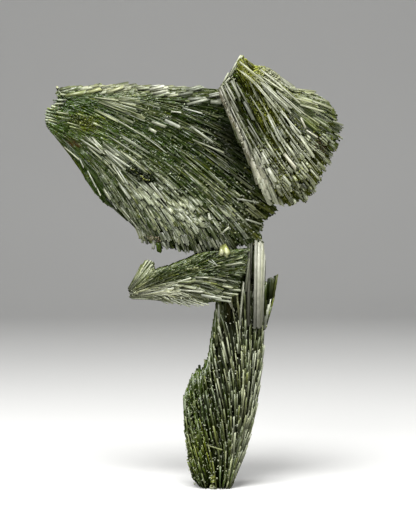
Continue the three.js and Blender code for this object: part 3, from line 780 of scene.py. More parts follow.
def node_tree(name):
    material = bpy.data.materials.new(name)
    material.use_nodes = True
    tree = material.node_tree
    return material, tree, tree.nodes["Principled BSDF"]


def add(tree, kind, **inputs):
    node = tree.nodes.new(kind)
    for key, value in inputs.items():
        node.inputs[key.replace("_", " ")].default_value = value
    return node


def feed(tree, socket, value):
    """Sets a socket to a number or a colour, or links it to another node's output."""
    if isinstance(value, (int, float, tuple)):
        socket.default_value = value
    else:
        tree.links.new(value, socket)


def mix(tree, factor, a, b, blend="MIX"):
    node = tree.nodes.new("ShaderNodeMix")
    node.data_type = "RGBA"
    node.blend_type = blend
    feed(tree, node.inputs[0], factor)
    feed(tree, node.inputs[6], a)
    feed(tree, node.inputs[7], b)
    return node.outputs[2]


def arithmetic(tree, operation, a, b, clamp=False):
    node = tree.nodes.new("ShaderNodeMath")
    node.operation = operation
    node.use_clamp = clamp
    feed(tree, node.inputs[0], a)
    feed(tree, node.inputs[1], b)
    return node.outputs[0]


def times(tree, a, b, clamp=False):
    return arithmetic(tree, "MULTIPLY", a, b, clamp)


def channels(tree, name):
    """The three numbers that a colour attribute holds."""
    source = tree.nodes.new("ShaderNodeAttribute")
    source.attribute_name = name
    split = tree.nodes.new("ShaderNodeSeparateColor")
    tree.links.new(source.outputs["Color"], split.inputs[0])
    return split.outputs


def spread(tree, value, **limits):
    """A value moved from one range to another."""
    node = add(tree, "ShaderNodeMapRange", **limits)
    tree.links.new(value, node.inputs["Value"])
    return node.outputs[0]


def noise(tree, place, **inputs):
    node = add(tree, "ShaderNodeTexNoise", **inputs)
    tree.links.new(place, node.inputs["Vector"])
    return node.outputs["Fac"]


def object_noise(tree, **inputs):
    return noise(tree, tree.nodes.new("ShaderNodeTexCoord").outputs["Object"], **inputs)


def emboss(tree, shader, height, strength, distance):
    bump = add(tree, "ShaderNodeBump", Strength=strength, Distance=distance)
    tree.links.new(height, bump.inputs["Height"])
    tree.links.new(bump.outputs[0], shader.inputs["Normal"])


DEEP_GREEN = (0.008, 0.014, 0.001, 1)
MID_GREEN = (0.032, 0.052, 0.004, 1)
LEAF_GREEN = (0.036, 0.076, 0.006, 1)
# Pale sage: partly the paler crystals' own colour, partly painted sheen of the light on their faces
SAGE_WARM = (0.195, 0.212, 0.052, 1)
SAGE_COOL = (0.19, 0.212, 0.138, 1)
# Yellow-green: partly the thin crystals' own colour, partly painted light that shines through them
YELLOW_GREEN = (0.22, 0.24, 0.008, 1)
TAN = (0.36, 0.34, 0.25, 1)
# White: a painted highlight on the palest faces
WHITE = (0.72, 0.73, 0.65, 1)
BROWN = (0.080, 0.040, 0.012, 1)
# A painted glint for the crystals' tips
PAINTED_TIP_GLINT = (0.60, 0.62, 0.46, 1)
# The bed is nearly black: painted shade in the gaps where it shows
BED_COLORS = (0.002, 0.004, 0.001, 1), (0.009, 0.014, 0.002, 1)
PAPER_COLORS = (0.50, 0.50, 0.49, 1), (0.56, 0.56, 0.55, 1)


def crystal_material(name):
    material, tree, shader = node_tree(name)
    pale, yellow, dark = channels(tree, "tint")
    reach, green, lot = channels(tree, "detail")
    tan, brown, white = channels(tree, "stain_and_highlight")
    grain = tree.nodes.new("ShaderNodeUVMap")
    grain.uv_map = "grain"
    stretched = add(tree, "ShaderNodeMapping", Scale=(4.0, 0.25, 1.0))
    tree.links.new(grain.outputs[0], stretched.inputs[0])
    streaks = noise(tree, stretched.outputs[0], Scale=1.0, Detail=4.0, Roughness=0.6)
    clouds = noise(tree, grain.outputs[0], Scale=0.6, Detail=2.0)

    body = mix(tree, lot, DEEP_GREEN, MID_GREEN)
    body = mix(tree, times(tree, green, 0.7), body, LEAF_GREEN)
    # Blotches for the pale sage, which is partly painted sheen, for the tan crust and for the
    # white, which is a painted highlight
    sheen_and_crust_blotches = times(tree, clouds, 1.3)
    # Pale sage, partly painted sheen
    sage = mix(tree, lot, SAGE_WARM, SAGE_COOL)
    body = mix(tree, times(tree, pale, sheen_and_crust_blotches, clamp=True), body, sage)
    # The palest crystals turn white: a painted highlight
    body = mix(tree, spread(tree, pale, From_Min=0.8, To_Max=0.12), body, WHITE)
    body = mix(tree, yellow, body, YELLOW_GREEN)
    body = mix(tree, times(tree, tan, sheen_and_crust_blotches, clamp=True), body, TAN)
    # The white share: a painted highlight
    body = mix(tree, times(tree, white, sheen_and_crust_blotches, clamp=True), body, WHITE)
    body = mix(tree, brown, body, BROWN)
    # Painted glint: some crystals turn paler towards their peaks
    tip_glint = spread(tree, reach, From_Min=0.78, From_Max=1.0, To_Max=0.7)
    body = mix(tree, times(tree, tip_glint, lot), body, PAINTED_TIP_GLINT)
    shade = arithmetic(tree, "SUBTRACT", 1.0, times(tree, dark, 0.85))
    streaky = spread(tree, streaks, To_Min=0.4, To_Max=1.6)
    # Painted shade: each crystal is darker towards its root, where it lies down in the gaps
    root_shade = spread(tree, reach, To_Min=0.4, To_Max=1.05)  # towards the root
    for strength in (streaky, root_shade, shade):
        body = mix(tree, 1.0, body, strength, "MULTIPLY")
    feed(tree, shader.inputs["Base Color"], body)

    gloss = spread(tree, clouds, To_Min=0.14, To_Max=0.36)
    rough = arithmetic(tree, "ADD", gloss, times(tree, pale, 0.16))
    feed(tree, shader.inputs["Roughness"], rough)
    feed(tree, shader.inputs["IOR"], 1.6)
    feed(tree, shader.inputs["Specular IOR Level"], times(tree, shade, 0.4))
    emboss(tree, shader, streaks, strength=0.35, distance=0.08 * MM)
    return material


def speckled_material(name, grain, detail, colors, roughness):
    """An even surface whose colour wanders between two. Gives its shader and noise as well."""
    material, tree, shader = node_tree(name)
    speckle = object_noise(tree, Scale=grain, Detail=detail)
    feed(tree, shader.inputs["Base Color"], mix(tree, speckle, *colors))
    feed(tree, shader.inputs["Roughness"], roughness)
    return material, tree, shader, speckle


def bed_material(name):
    material, tree, shader, speckle = speckled_material(name, 900.0, 4.0, BED_COLORS, 0.8)
    emboss(tree, shader, speckle, strength=0.5, distance=0.3 * MM)
    return material


CRYSTAL = crystal_material("epidote")
BED = bed_material("epidote_bed")

# DARK and OLIVE darken the low-lying crystals as painted shade in the gaps. BRIGHT's white share is
# a painted highlight.
DARK = dict(pale=-0.1, dark=0.5, green=0.2)
OLIVE = dict(pale=-0.2, yellow=0.5, dark=0.45)
PALE = dict(pale=0.75)
BRIGHT = dict(pale=1.2, white=0.45)
CRUST = dict(pale=0.4, tan=1.2, white=0.2)

# The broad fan
broad = Sheaf(
    BROAD_RAYS,
    half=lambda s: (BROAD_ROOT + (BROAD_END - BROAD_ROOT) * smooth(s, 0.15, 1)) * thin_tips(s),
    middle=lambda x: 3.5 * MM + 0.02 * x,
    edge=thin_edges(0.34, 0.26, 0.24),
    seed=11,
    lean=profile((0, -15), (0.08, -12), (0.12, 4), (0.2, 14), (0.3, 15), (0.6, 12), (0.75, 5),
                 (0.85, 6), (1, 8)),
    heel=profile((0, 0), (0.06, 0.01), (0.1, 0.05), (0.16, 0.045), (0.22, 0.025),
                 (0.28, 0.008), (0.34, 0), (1, 0)),
    rim=profile((0, 1), (0.35, 1.04), (0.4, 0.998), (0.44, 0.97), (0.5, 1.01),
                (0.62, 1.005), (0.7, 0.995), (0.8, 0.99), (0.85, 0.985), (1, 0.985)),
    notch=(0.03, 60),
    hollows=[(0.21, 0.8, 0.05, 0.1, 2.2), (0.68, 0.5, 0.03, 0.045, 1.6)],
)
broad_front = gather([
    thatch(broad, 30, 0.24, (1.5, 5), (0.16, 0.34), 3, end=0.55, wild=0.35, relief=0.25, low=0.06,
        green=0.3),
    thatch(broad, 18, 0.34, (8, 20), (0.24, 0.45), 8, start=0.42, wild=0.9, rise=-0.9, low=0.06,
        **DARK),
    thatch(broad, 14, 0.6, (1.5, 5), (0.18, 0.36), 9, start=0.45, relief=0.5, rise=-0.2, low=0.1,
        high=0.7, pale=0.1, green=0.5),
    ridges(broad, 90, (0.2, 0.45), (0, 0.9), low=0.12, high=0.62, forks=(0.45, 0.8, 0.6, 0.85),
        link=(3, 8), cut=0.35, strands=1, pale=0.25),
    ridges(broad, 64, (0.35, 0.7), (0.1, 1.2), low=0.6, high=0.97, forks=(0.4, 0.7, 0.52, 0.8),
        link=(2, 6), cut=0.3, pale=0.25, white=0.1),
    bundles(broad, 36, (0.4, 1), 0.5, (3, 9), (0.25, 0.45), (0.5, 1.3), start=0.3, end=0.75,
        low=0.56, high=0.8, pale=0.8, white=0.15),
    bundles(broad, 14, (0.5, 1.2), 0.5, (5, 10), (0.25, 0.45), (0.5, 1.2), start=0.34, end=0.47,
        low=0.13, high=0.24, pale=0.9),
    bundles(broad, 20, (0.3, 0.9), 0.5, (4, 10), (0.22, 0.35), (0.5, 1.1), start=0.3, end=0.9,
        low=0.22, high=0.5, pale=0.8, white=0.1),
    bundles(broad, 70, (0.5, 1.3), 0.5, (2.5, 6), (0.3, 0.55), (0.6, 1.7), start=0.78, low=0.38,
        **PALE),
    bundles(broad, 50, (0.5, 1.4), 0.6, (1.5, 3.5), (0.35, 0.7), (0.3, 1.5), start=0.93, low=0.6,
        pale=0.6, white=0.4),
    nodules(broad, 700, (0.12, 0.6), (0.3, 0.95), (0.25, 0.7), 0.3, pale=0.25),
    bundles(broad, 26, (0.8, 1.8), 0.8, (2.5, 6), (0.5, 0.9), (0.7, 1.5), start=0.62, end=0.88,
        low=0.54, high=0.86, pale=0.7),
    bundles(broad, 14, (0.8, 1.6), 0.8, (1.5, 3.5), (0.6, 1.1), (0.9, 1.6), start=0.72, end=0.84,
        low=0.6, high=0.72, pale=0.9, white=0.2),
    nodules(broad, 170, (0.1, 0.9), (0.02, 0.95), (0.3, 0.9), -0.3, side="last", green=0.4,
        yellow=0.35),
    # Small crystals painted white as glints
    nodules(broad, 80, (0.38, 0.62), (0.8, 0.99), (0.15, 0.4), 0.7, pale=1, white=0.9),
    nodules(broad, 50, (0.18, 0.5), (0.45, 0.85), (0.15, 0.38), 0.6, pale=1, white=0.7),
    # Pale crystals that the photo shows one by one
    blades(broad, (23, 47, 24, 53, 0.68, 1.4), (21, 54, 23, 60, 0.75, 1.4),
        (27, 45, 28, 48, 0.83, 1.6), (15, 66, 16, 75, 0.34, 1.4), (17, 59, 17, 64, 0.38, 1.2),
        (14, 69, 10, 83, 0.68, 1.7), (12, 82, 12, 88, 1.2, 1.5), (22, 65, 26, 73, 0.6, 1.3),
        (27, 64, 28, 78, 0.38, 1.2), (27, 32, 32, 43, 0.26, 1.2), (32, 43, 36, 52, 0.26, 1.2),
        (26, 30, 29, 36, 0.26, 1.1), (56, 78, 58, 81, 0.6, 1.9), (59, 88, 54, 86, 0.45, 1.9),
        (41, 83, 38, 92, 0.45, 1.5), (47, 88, 45, 95, 0.52, 1.5), **BRIGHT),
    blades(broad, (58, 20, 71, 33, 0.65, 0.9), (68, 32, 68, 44, 0.91, 1.2),
        (76.5, 41, 80, 54, 0.72, 1.4), (67, 54, 70, 68, 0.85, 1.4), (66, 72, 67, 85, 0.91, 1.4),
        (83, 53, 84, 64, 0.65, 1.3), (61, 20, 73.5, 33, 0.35, 0.9), (70, 33, 73.5, 46, 0.35, 1.1),
        strands=2, **BRIGHT),
    # Short ones at the blunt root
    blades(broad, (27, 4, 27, -0.5, 0.6, 0.2), (24, 5, 23, 1, 0.6, 0), (33, 4, 34, -0.5, 0.5, 0.3),
        (40, 5, 41, -0.5, 0.5, 0.1), (46, 4, 48, 0, 0.5, 0.2), (52, 6, 55, 1, 0.4, 0.4),
        (30, 9, 31, 4, 0.4, 0.8), (37, 10, 38, 5, 0.4, 0.8), (44, 14, 45, 9, 0.35, 0.8),
        (29, 17, 27, 13, 0.35, 0.8), (50, 15, 52, 10, 0.35, 0.8), (35, 24, 33, 20, 0.35, 0.8),
        (10, 7, 9, 3, 0.5, 0.2), (15, 7, 16, 2.5, 0.5, 0.2), (19, 6, 20, 2, 0.6, 0.2),
        (58, 5, 60, 0, 0.5, 0.1), (66, 6, 70, 1, 0.5, 0.1), pale=0.7),
    blades(broad, (100, 14, 93.5, 27, 0.33, 0.7), (93, 27, 95, 33, 0.33, 0.8),
        (94, 36, 96, 48, 0.39, 0.9), (96, 48, 97, 54, 0.39, 0.8), (92, 51, 93, 59, 0.59, 1.4),
        (93, 58, 96, 67, 0.33, 1), (91, 66, 93, 84, 0.45, 1.2), (84, 91, 84, 96, 0.65, 1.4),
        **BRIGHT),
    blades(broad, (85.5, 91, 89, 98.5, 1.3, 1.8), green=0.8, yellow=0.1),
    blades(broad, (87, 90.5, 94, 99.5, 0.9, 1.3), sink=0.4, pale=1.3, white=1),
    nodules(broad, 36, (0.84, 0.91), (0.88, 0.92), (0.4, 0.9), 0.9, tan=0.6, brown=0.7),
    # The hollow, whose dark crystals are painted shade, and its yellow crystals
    nodules(broad, 200, (0.62, 0.73), (0.455, 0.54), (0.6, 1.3), 1.1, pale=-0.6, dark=0.7),
    nodules(broad, 90, (0.635, 0.72), (0.465, 0.535), (0.25, 0.6), 1.6, pale=0.9, yellow=0.9,
        brown=0.15, dark=-0.4),
    nodules(broad, 50, (0.28, 0.4), (0.09, 0.21), (0.2, 0.5), 0.4, yellow=0.45, green=0.4,
        dark=0.15),
    nodules(broad, 60, (0.29, 0.4), (0.09, 0.2), (0.25, 0.6), 0.5, pale=-0.4, dark=0.8),
    # The two yellow lumps over the spray
    blades(broad, (61.2, 93.5, 61.2, 94, 1.5, 3.6), (62.2, 94, 62.5, 93.5, 1.2, 3.9),
        (61.8, 95.2, 62.2, 95.7, 1.4, 3.7), (62.8, 95, 63.2, 94.5, 1.1, 3.5), sink=3.8, flat=1,
        yellow=0.75, tan=0.5),
    nodules(broad, 16, (0.19, 0.29), (0.68, 0.84), (0.3, 0.8), 0.5, **BRIGHT),
    nodules(broad, 26, (0.34, 0.5), (0.82, 0.93), (0.3, 0.7), 0.4, **BRIGHT),
])
broad_edges = gather([
    thatch(broad, 26, 0.7, (2.5, 5.5), (0.6, 1), 7, high=0.085, relief=0.4, rise=-0.1, sink=0.6,
        flat=(0.5, 0.8), pale=0.3),
    thatch(broad, 22, 0.8, (3, 6), (0.7, 1.2), 5, side="first", relief=0.4, rise=-0.8, sink=0.6,
        flat=(0.4, 0.6), pale=0.5),
    bundles(broad, 50, (1.5, 4), 1, (2.5, 5), (0.6, 1), (-0.9, -0.1), side="first", start=0.06,
        dome=0.1, sink=0.6, pale=0.4),
    bundles(broad, 14, (1.5, 4), 0.9, (2.5, 5), (0.6, 0.9), (-0.5, 0.2), side="first", start=0.6,
        dome=0.1, sink=0.6, pale=0.7, white=0.4),
    bundles(broad, 11, (0.7, 1.6), 0.9, (3, 6), (0.55, 0.85), (0.8, 1.7), start=0.62, low=0.01,
        high=0.1, dome=0.2, pale=0.7, white=0.4),
    thatch(broad, 26, 0.4, (2.5, 7), (0.25, 0.5), 6, side="last", rise=-1.2, wild=0.6, relief=0.4,
        dark=0.2, yellow=0.15),
    bundles(broad, 40, (0.6, 2), 0.4, (2.5, 6), (0.25, 0.5), (-1, -0.1), side="last", start=0.1,
        pale=0.4),
])
broad_back = gather([
    thatch(broad, 24, 0.55, (9, 20), (0.5, 1.2), 4, side="back", high=0.92, wild=0.8),
    thatch(broad, 40, 0.5, (1.5, 3.5), (0.4, 0.8), 22, side="back", low=0.88, rise=-0.4, wild=0.4),
    bundles(broad, 90, (1.2, 4), 0.6, (9, 20), (0.5, 1), (0.3, 1.5), side="back", start=0.25,
        high=0.9),
])
broad_ends = gather([
    bristle(broad, 0.6, (5, 10), (0.4, 0.9)),
    bristle(broad, 0.6, (5, 9), (0.5, 1), end=0, ragged=0.04),
])
broad_pieces = [
    bed_piece("broad_fan_bed", broad),
    crystal_piece("broad_fan_front", broad_front, broad_zones, 101),
    crystal_piece("broad_fan_edges", broad_edges, broad_zones, 104),
    crystal_piece("broad_fan_back", broad_back, broad_zones, 102),
    crystal_piece("broad_fan_ends", broad_ends, broad_zones, 103),
]
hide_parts("broad_fan")

# The upper fan
upper = Sheaf(
    UPPER_RAYS,
    half=lambda s: (UPPER_ROOT + (UPPER_END - UPPER_ROOT) * smooth(s, 0, 0.9)) * thin_tips(s),
    middle=lambda x: UPPER_TURN * x - UPPER_FRONT,
    edge=thin_edges(0.4, 0.5, 0.2),
    seed=23,
    lean=profile((0, 0), (0.06, 2), (0.2, 14), (0.5, 14), (0.65, 8), (0.8, 1), (1, 0)),
    heel=profile((0, 0.03), (0.06, 0.025), (0.14, -0.005), (1, -0.005)),
    brow=profile((0, 0.06), (0.05, 0.18), (0.11, 0.38), (0.14, 0.3), (0.17, 0.1), (0.22, 0.06),
                 (0.28, 0.03), (0.39, 0.04), (0.42, 0.1), (0.48, 0.12), (0.6, 0.08),
                 (0.78, 0.05), (0.87, 0.06), (0.95, 0.1)),
    rim=profile((0, 0.94), (0.07, 0.965), (0.12, 0.985), (0.18, 0.99), (0.21, 1.01), (0.3, 1),
                (0.38, 1.01), (0.45, 1), (0.56, 0.985), (0.66, 1), (0.72, 1.025),
                (0.8, 1.04), (0.9, 1.02), (0.95, 0.99), (1, 0.96)),
    notch=(0.04, 56),
    hollows=[(0.5, 0.12, 0.1, 0.08, 1.2), (0.62, 0.4, 0.06, 0.07, 1.8),
             (0.42, 0.25, 0.06, 0.12, 1), (0.42, 0.9, 0.05, 0.08, 1.2),
             (0.72, 0.86, 0.04, 0.07, 1.5)],
)
upper_front = gather([
    # Low-lying crystals, darkened as painted shade in the gaps
    thatch(upper, 18, 0.4, (8, 18), (0.25, 0.5), 13, wild=0.9, rise=-1.7, low=0.15, pale=-0.2,
        dark=0.9),
    thatch(upper, 24, 0.45, (2, 9), (0.2, 0.4), 17, wild=0.9, rise=-0.9, low=0.12, **OLIVE),
    thatch(upper, 36, 0.3, (0.8, 2), (0.25, 0.5), 18, wild=0.3, relief=0.3, high=0.17, pale=0.35),
    thatch(upper, 22, 0.32, (0.8, 3), (0.22, 0.5), 20, wild=0.7, relief=0.5, rise=-0.4, low=0.14,
        high=0.92, end=0.55, pale=-0.05, green=0.35, yellow=0.12),
    ridges(upper, 18, (0.35, 0.7), (0.2, 1.3), low=0.45, forks=(0.22, 0.55, 0.4, 0.7), link=(2, 5),
        pale=0.6, white=0.35),
    ridges(upper, 30, (0.2, 0.4), (-0.2, 0.8), low=0.13, high=0.48, forks=(0.45, 0.75, 0.55, 0.8),
        link=(2, 6), pale=0.35, white=0.3),
    bundles(upper, 34, (0.3, 0.8), 0.45, (1.5, 4), (0.25, 0.5), (0, 1.6), start=0.6, end=0.9,
        low=0.4, pale=0.6, white=0.4),
    bundles(upper, 54, (0.3, 1), 0.5, (0.8, 2.4), (0.35, 0.7), (0.2, 1.8), start=0.8, low=0.3,
        pale=0.3, white=0.3),
    nodules(upper, 240, (0.3, 1), (0.6, 1), (0.3, 0.8), 0.8, pale=-0.3, dark=0.6, yellow=0.4),
    nodules(upper, 300, (0.42, 1), (0.5, 1), (0.25, 0.7), 0.3, pale=0.2, yellow=0.3),
    bundles(upper, 20, (0.5, 1.4), 0.4, (5, 12), (0.3, 0.45), (0.5, 1), start=0.7, end=0.98,
        low=0.1, high=0.34, pale=0.5, green=0.4),
    # The pale crust on the left side, with brown stains
    blades(upper, (100, 0, 98.5, 19, 1.7, 0.6), (99, 17, 96.5, 32, 1.8, 0.8),
        (95.5, 29, 97.5, 43, 1.8, 0.7), (97.5, 38, 100, 52, 1.2, 0.4), (93, 44, 97.5, 60, 1.9, 0.9),
        (100, 58, 100, 76, 1, 0.6), (96, 59, 96, 86, 1.9, 1.1), (90, 62, 91, 84, 1.5, 0.9),
        flat=0.3, **CRUST),
    blades(upper, (98, 2, 98.5, 10, 0.5, 1.1), (96, 7, 97, 16, 0.4, 1.2),
        (98.5, 19, 98, 26, 0.6, 1.1), (95, 25, 95.5, 33, 0.5, 1.3), (99, 44, 100, 50, 0.4, 0.9),
        (95, 52, 96, 60, 0.6, 1.5), tan=0.5, brown=0.55),
    nodules(upper, 70, (0.92, 1), (0.04, 0.9), (0.3, 0.9), 0.8, **CRUST),
    nodules(upper, 90, (0, 0.5), (0.04, 0.95), (0.4, 1), 0.2, side="last", **CRUST),
    blades(upper, (95, 77, 96.5, 95, 2, 1.4), (90, 80, 92, 95, 1.2, 1.4), strands=2, **BRIGHT),
    # The pale rim at the top
    blades(upper, (97, 0.5, 57, 0.5, 0.9, 0.5), (58, 0.5, 8, 0.5, 0.8, 0.5),
        (90, 2, 50, 4, 0.6, 0.2), sink=0, strands=2, **BRIGHT),
    # Pale crystals that the photo shows one by one
    blades(upper, (82, 0, 86, 16, 0.52, 1), (86, 15, 86, 35, 0.45, 0.9),
        (86, 34, 87, 52, 0.45, 0.9), (69, 1, 70, 14, 0.45, 1.2), (61, 3, 64, 15, 0.75, 1.3),
        (56, 3, 66, 17, 0.38, 1), (55, 7, 59, 22, 0.38, 0.9), (76, 2, 78, 22, 0.38, 1),
        (60, 20, 63, 34, 0.75, 1.2), (46, 41, 54, 58, 0.6, 1.4), (52, 63, 54, 72, 0.6, 1.3),
        (41, 69, 48, 85, 0.75, 1.7), (39, 60, 42, 71, 0.45, 1.3), (34, 51, 41, 67, 0.45, 1.3),
        (35, 48, 39, 70, 0.38, 1.4), (65, 51, 67, 62, 0.6, 1.7), (79, 56, 81, 66, 0.52, 1.7),
        (82, 68, 84, 80, 0.9, 1.6), (77, 77, 78, 86, 0.68, 1.8), (55, 84, 56, 92, 0.6, 1.9),
        (54, 78, 56, 85, 0.38, 1.5), (70, 30, 73, 52, 0.45, 1), (48, 22, 52, 40, 0.38, 0.8),
        **BRIGHT),
    blades(upper, (24, 2, 23, 27, 0.83, 1.6), (23, 25, 26, 54, 0.9, 1.6),
        (27.5, 30, 30, 57, 0.6, 1.3), (33, 5, 30, 21, 0.68, 1.4), (30, 20, 35, 46, 0.75, 1.5),
        (7, 16, 15, 44, 0.68, 1.3), (11, 19, 12, 42, 0.45, 1.4), (17, 21, 23, 42, 0.52, 1.2),
        (13, 30, 17, 60, 0.52, 1.1), (19, 40, 24, 66, 0.45, 1.1), strands=2, **BRIGHT),
    blades(upper, (6, 50, 1, 76, 0.6, 1.3), (12, 72, 12, 90, 0.68, 1.8), (18, 62, 16, 83, 0.6, 1.5),
        (7, 72, 7, 86, 0.45, 1.3), (20, 90, 20, 98.5, 0.45, 1), (15, 50, 13, 78, 0.3, 1.2),
        pale=1.4, tan=0.3),
    blades(upper, (35, 72, 36, 82, 0.45, 1.2), (29, 64, 34, 71, 0.52, 1.1),
        (59, 65, 61, 78, 0.9, 1.3), **CRUST),
    nodules(upper, 320, (0.02, 0.17), (0.17, 0.5), (0.25, 0.6), 0.3, pale=0.6, green=0.2),
    # The yellow crystals near the top
    thatch(upper, 8, 0.3, (0.8, 2.5), (0.3, 0.6), 28, low=0.03, high=0.36, start=0.03, end=0.2,
        wild=0.3, relief=0.3, rise=0.5, pale=0.8, yellow=0.7),
    nodules(upper, 160, (0.02, 0.26), (0.06, 0.25), (0.2, 0.5), 0.8, pale=0.6, yellow=0.6),
    nodules(upper, 130, (0.4, 0.56), (0.24, 0.42), (0.2, 0.5), 0.3, pale=0.1, yellow=0.6,
        green=0.4),
    nodules(upper, 60, (0.34, 0.44), (0.82, 0.92), (0.4, 1), 0.2, brown=0.8, dark=0.3),
])
upper_rest = gather([
    bundles(upper, 26, (1.5, 4), 0.8, (3, 7), (0.6, 1.1), (-0.3, 0.4), side="first", start=0.42,
        pale=0.75, white=0.3),
    thatch(upper, 14, 0.6, (8, 18), (0.5, 1.2), 14, side="back", low=0.09, wild=0.8),
    thatch(upper, 40, 0.5, (1, 2.4), (0.4, 0.8), 21, side="back", high=0.12, wild=0.4),
    bundles(upper, 50, (1.2, 3.5), 0.6, (8, 18), (0.5, 1), (0.3, 1.5), side="back", start=0.3,
        low=0.1),
    thatch(upper, 18, 0.5, (1.5, 3.5), (0.4, 0.7), 15, side="first", start=0.24, rise=-0.4,
        sink=0.4, **PALE),
    thatch(upper, 16, 0.4, (0.5, 1.1), (0.3, 0.5), 19, side="first", end=0.24, wild=0.15,
        relief=0.1, rise=-0.3, sink=0.2, pale=0.4, yellow=0.4),
    thatch(upper, 14, 0.5, (6, 14), (0.5, 1.2), 16, side="last", pale=0.4, tan=0.5),
    bristle(upper, 0.75, (6, 12), (0.6, 1.2), ragged=0.04),
    bristle(upper, 0.6, (0.8, 1.6), (0.4, 0.7), end=0, ragged=0.012, **PALE),
])
upper_pieces = [
    bed_piece("upper_fan_bed", upper),
    crystal_piece("upper_fan_front", upper_front, upper_zones, 111),
    crystal_piece("upper_fan_back", upper_rest, upper_zones, 112),
]
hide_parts("upper_fan")

# The side spray
spray = Sheaf(
    SPRAY_RAYS,
    half=lambda s: 1.4 * MM + 3.8 * MM * smooth(s, 0, 0.9),
    middle=lambda x: -1.6 * MM - 0.04 * x,
    edge=thin_edges(0.4, 0.36, 0.3),
    seed=37,
    lean=profile((0, 0), (0.5, 0), (0.62, 14), (0.75, 26), (0.9, 26), (1, 12)),
    rim=profile((0, 1), (0.36, 1), (0.42, 1.11), (0.46, 1.08), (0.55, 1.06), (0.75, 1.05),
                (0.8, 1), (1, 1)),
    notch=(0.04, 40),
    hollows=[(0.57, 0.9, 0.03, 0.08, 1)],
)
spray_crystals = gather([
    thatch(spray, 20, 0.25, (2, 8), (0.2, 0.38), 23, relief=0.3, wild=0.7, rise=-0.3, dark=0.1),
    thatch(spray, 16, 0.3, (1.2, 3.5), (0.18, 0.34), 27, relief=0.3, wild=0.4, rise=0.1, low=0.33,
        high=0.6, green=0.2),
    ridges(spray, 26, (0.3, 0.6), (0.1, 0.6), low=0.4, forks=(0.1, 0.6, 0.35, 0.75), link=(2, 6),
        pale=0.2),
    bundles(spray, 30, (0.4, 1.1), 0.4, (2, 6), (0.25, 0.45), (0.4, 1), start=0.4, low=0.55,
        **PALE),
    ridges(spray, 12, (0.5, 0.8), (0.3, 0.9), low=0.62, end=0.9, forks=(0.02, 0.1, 0.3),
        link=(3, 7), sink=0.3, cut=0.3, pale=0.4),
    bundles(spray, 12, (0.6, 1.2), 0.4, (3, 6), (0.25, 0.4), (0.5, 1.2), start=0.6, end=1.04,
        low=0.84, pale=0.9, white=0.2),
    blades(spray, (62, 18, 64, 43, 0.54, 0.6), (62, 26, 58, 54, 0.48, 0.8),
        (58, 57, 61, 70, 0.42, 1), (62, 73, 65, 88, 0.48, 1.2), (77, 72, 78, 94, 0.78, 1.1),
        (89, 79, 91, 105, 0.48, 0.8), (92, 73, 95, 102, 0.42, 0.7), (68, 86, 69, 96, 0.48, 1.2),
        (45.5, 84, 51, 75, 0.25, 0.9), (54, 84, 55, 99, 0.42, 1), (46, 85.5, 52.5, 76.5, 0.25, 0.9),
        (73, 50, 74, 72, 0.54, 1), **BRIGHT),
    blades(spray, (88, 70, 88, 104, 0.3, 1.2), (86, 72, 86.5, 103, 0.3, 1.3),
        (90, 68, 90, 98, 0.3, 1.1), (84, 74, 85, 102, 0.3, 1.3), (92, 64, 92.5, 90, 0.3, 1),
        (76, 86, 76.5, 102, 0.5, 1.3), (79, 88, 79, 104, 0.5, 1.4), (73, 90, 73.5, 105, 0.45, 1.2),
        (70, 93, 70, 104, 0.4, 1.1), pale=1.1, white=0.2),
    blades(spray, (74, 6, 60, 28, 1.2, 0.4), (92, 21, 79, 53, 1.3, 0.6), (84, 10, 70, 42, 1.2, 0.5),
        (4, 0, 3, 100, 0.7, 0.4), (8, 10, 7, 100, 0.7, 0.5), (15, 5, 13, 97, 0.7, 0.5), strands=3,
        pale=0.95, white=0.15),
    nodules(spray, 30, (0.44, 0.48), (0.6, 0.66), (0.4, 0.9), 0.3, yellow=0.4, pale=0.6),
    thatch(spray, 12, 0.5, (5, 11), (0.4, 1), 24, side="back"),
    thatch(spray, 6, 0.4, (3, 7), (0.3, 0.8), 25, side="first", rise=-0.6),
    thatch(spray, 7, 0.4, (3, 7), (0.3, 0.8), 26, side="last", rise=-1.3, **PALE),
    bristle(spray, 0.6, (4, 8), (0.4, 0.9), ragged=0.05),
    bristle(spray, 0.6, (3, 5), (0.5, 0.9), end=0, ragged=0.02, **PALE),
])
spray_pieces = [
    bed_piece("side_spray_bed", spray),
    crystal_piece("side_spray_crystals", spray_crystals, spray_zones, 121),
]
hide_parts("side_spray")

# The stem
stem = Sheaf(
    STEM_RAYS,
    half=lambda s: 4.9 * MM + 1.3 * MM * smooth(s, 0, 0.3) - 3.2 * MM * smooth(s, 0.4, 0.9),
    middle=lambda x: 0 * x,
    edge=thin_edges(0.38, 0.36, 0.34),
    seed=41,
    lean=profile((0, -6), (0.15, -12), (0.3, -20), (0.55, -18), (0.75, -9), (0.85, -2), (1, 2)),
    rim=profile((0, 1.12), (0.05, 1.11), (0.1, 1.06), (0.16, 1.05), (0.22, 1.06), (0.3, 1),
                (0.35, 1), (0.43, 1.16), (0.5, 1.12), (0.57, 1.04), (0.65, 1.1), (0.8, 1.04),
                (1, 1.02)),
    notch=(0.05, 44),
    hollows=[(0.855, 0.84, 0.015, 0.16, 1.8), (0.69, 0.4, 0.02, 0.09, 1.6),
             (0.82, 0.32, 0.025, 0.09, 1.8), (0.33, 0.54, 0.03, 0.06, 1.3),
             (0.6, 0.62, 0.02, 0.07, 1.5), (0.88, 0.18, 0.02, 0.06, 1.5),
             (0.72, 0.68, 0.02, 0.08, 1.2)],
)
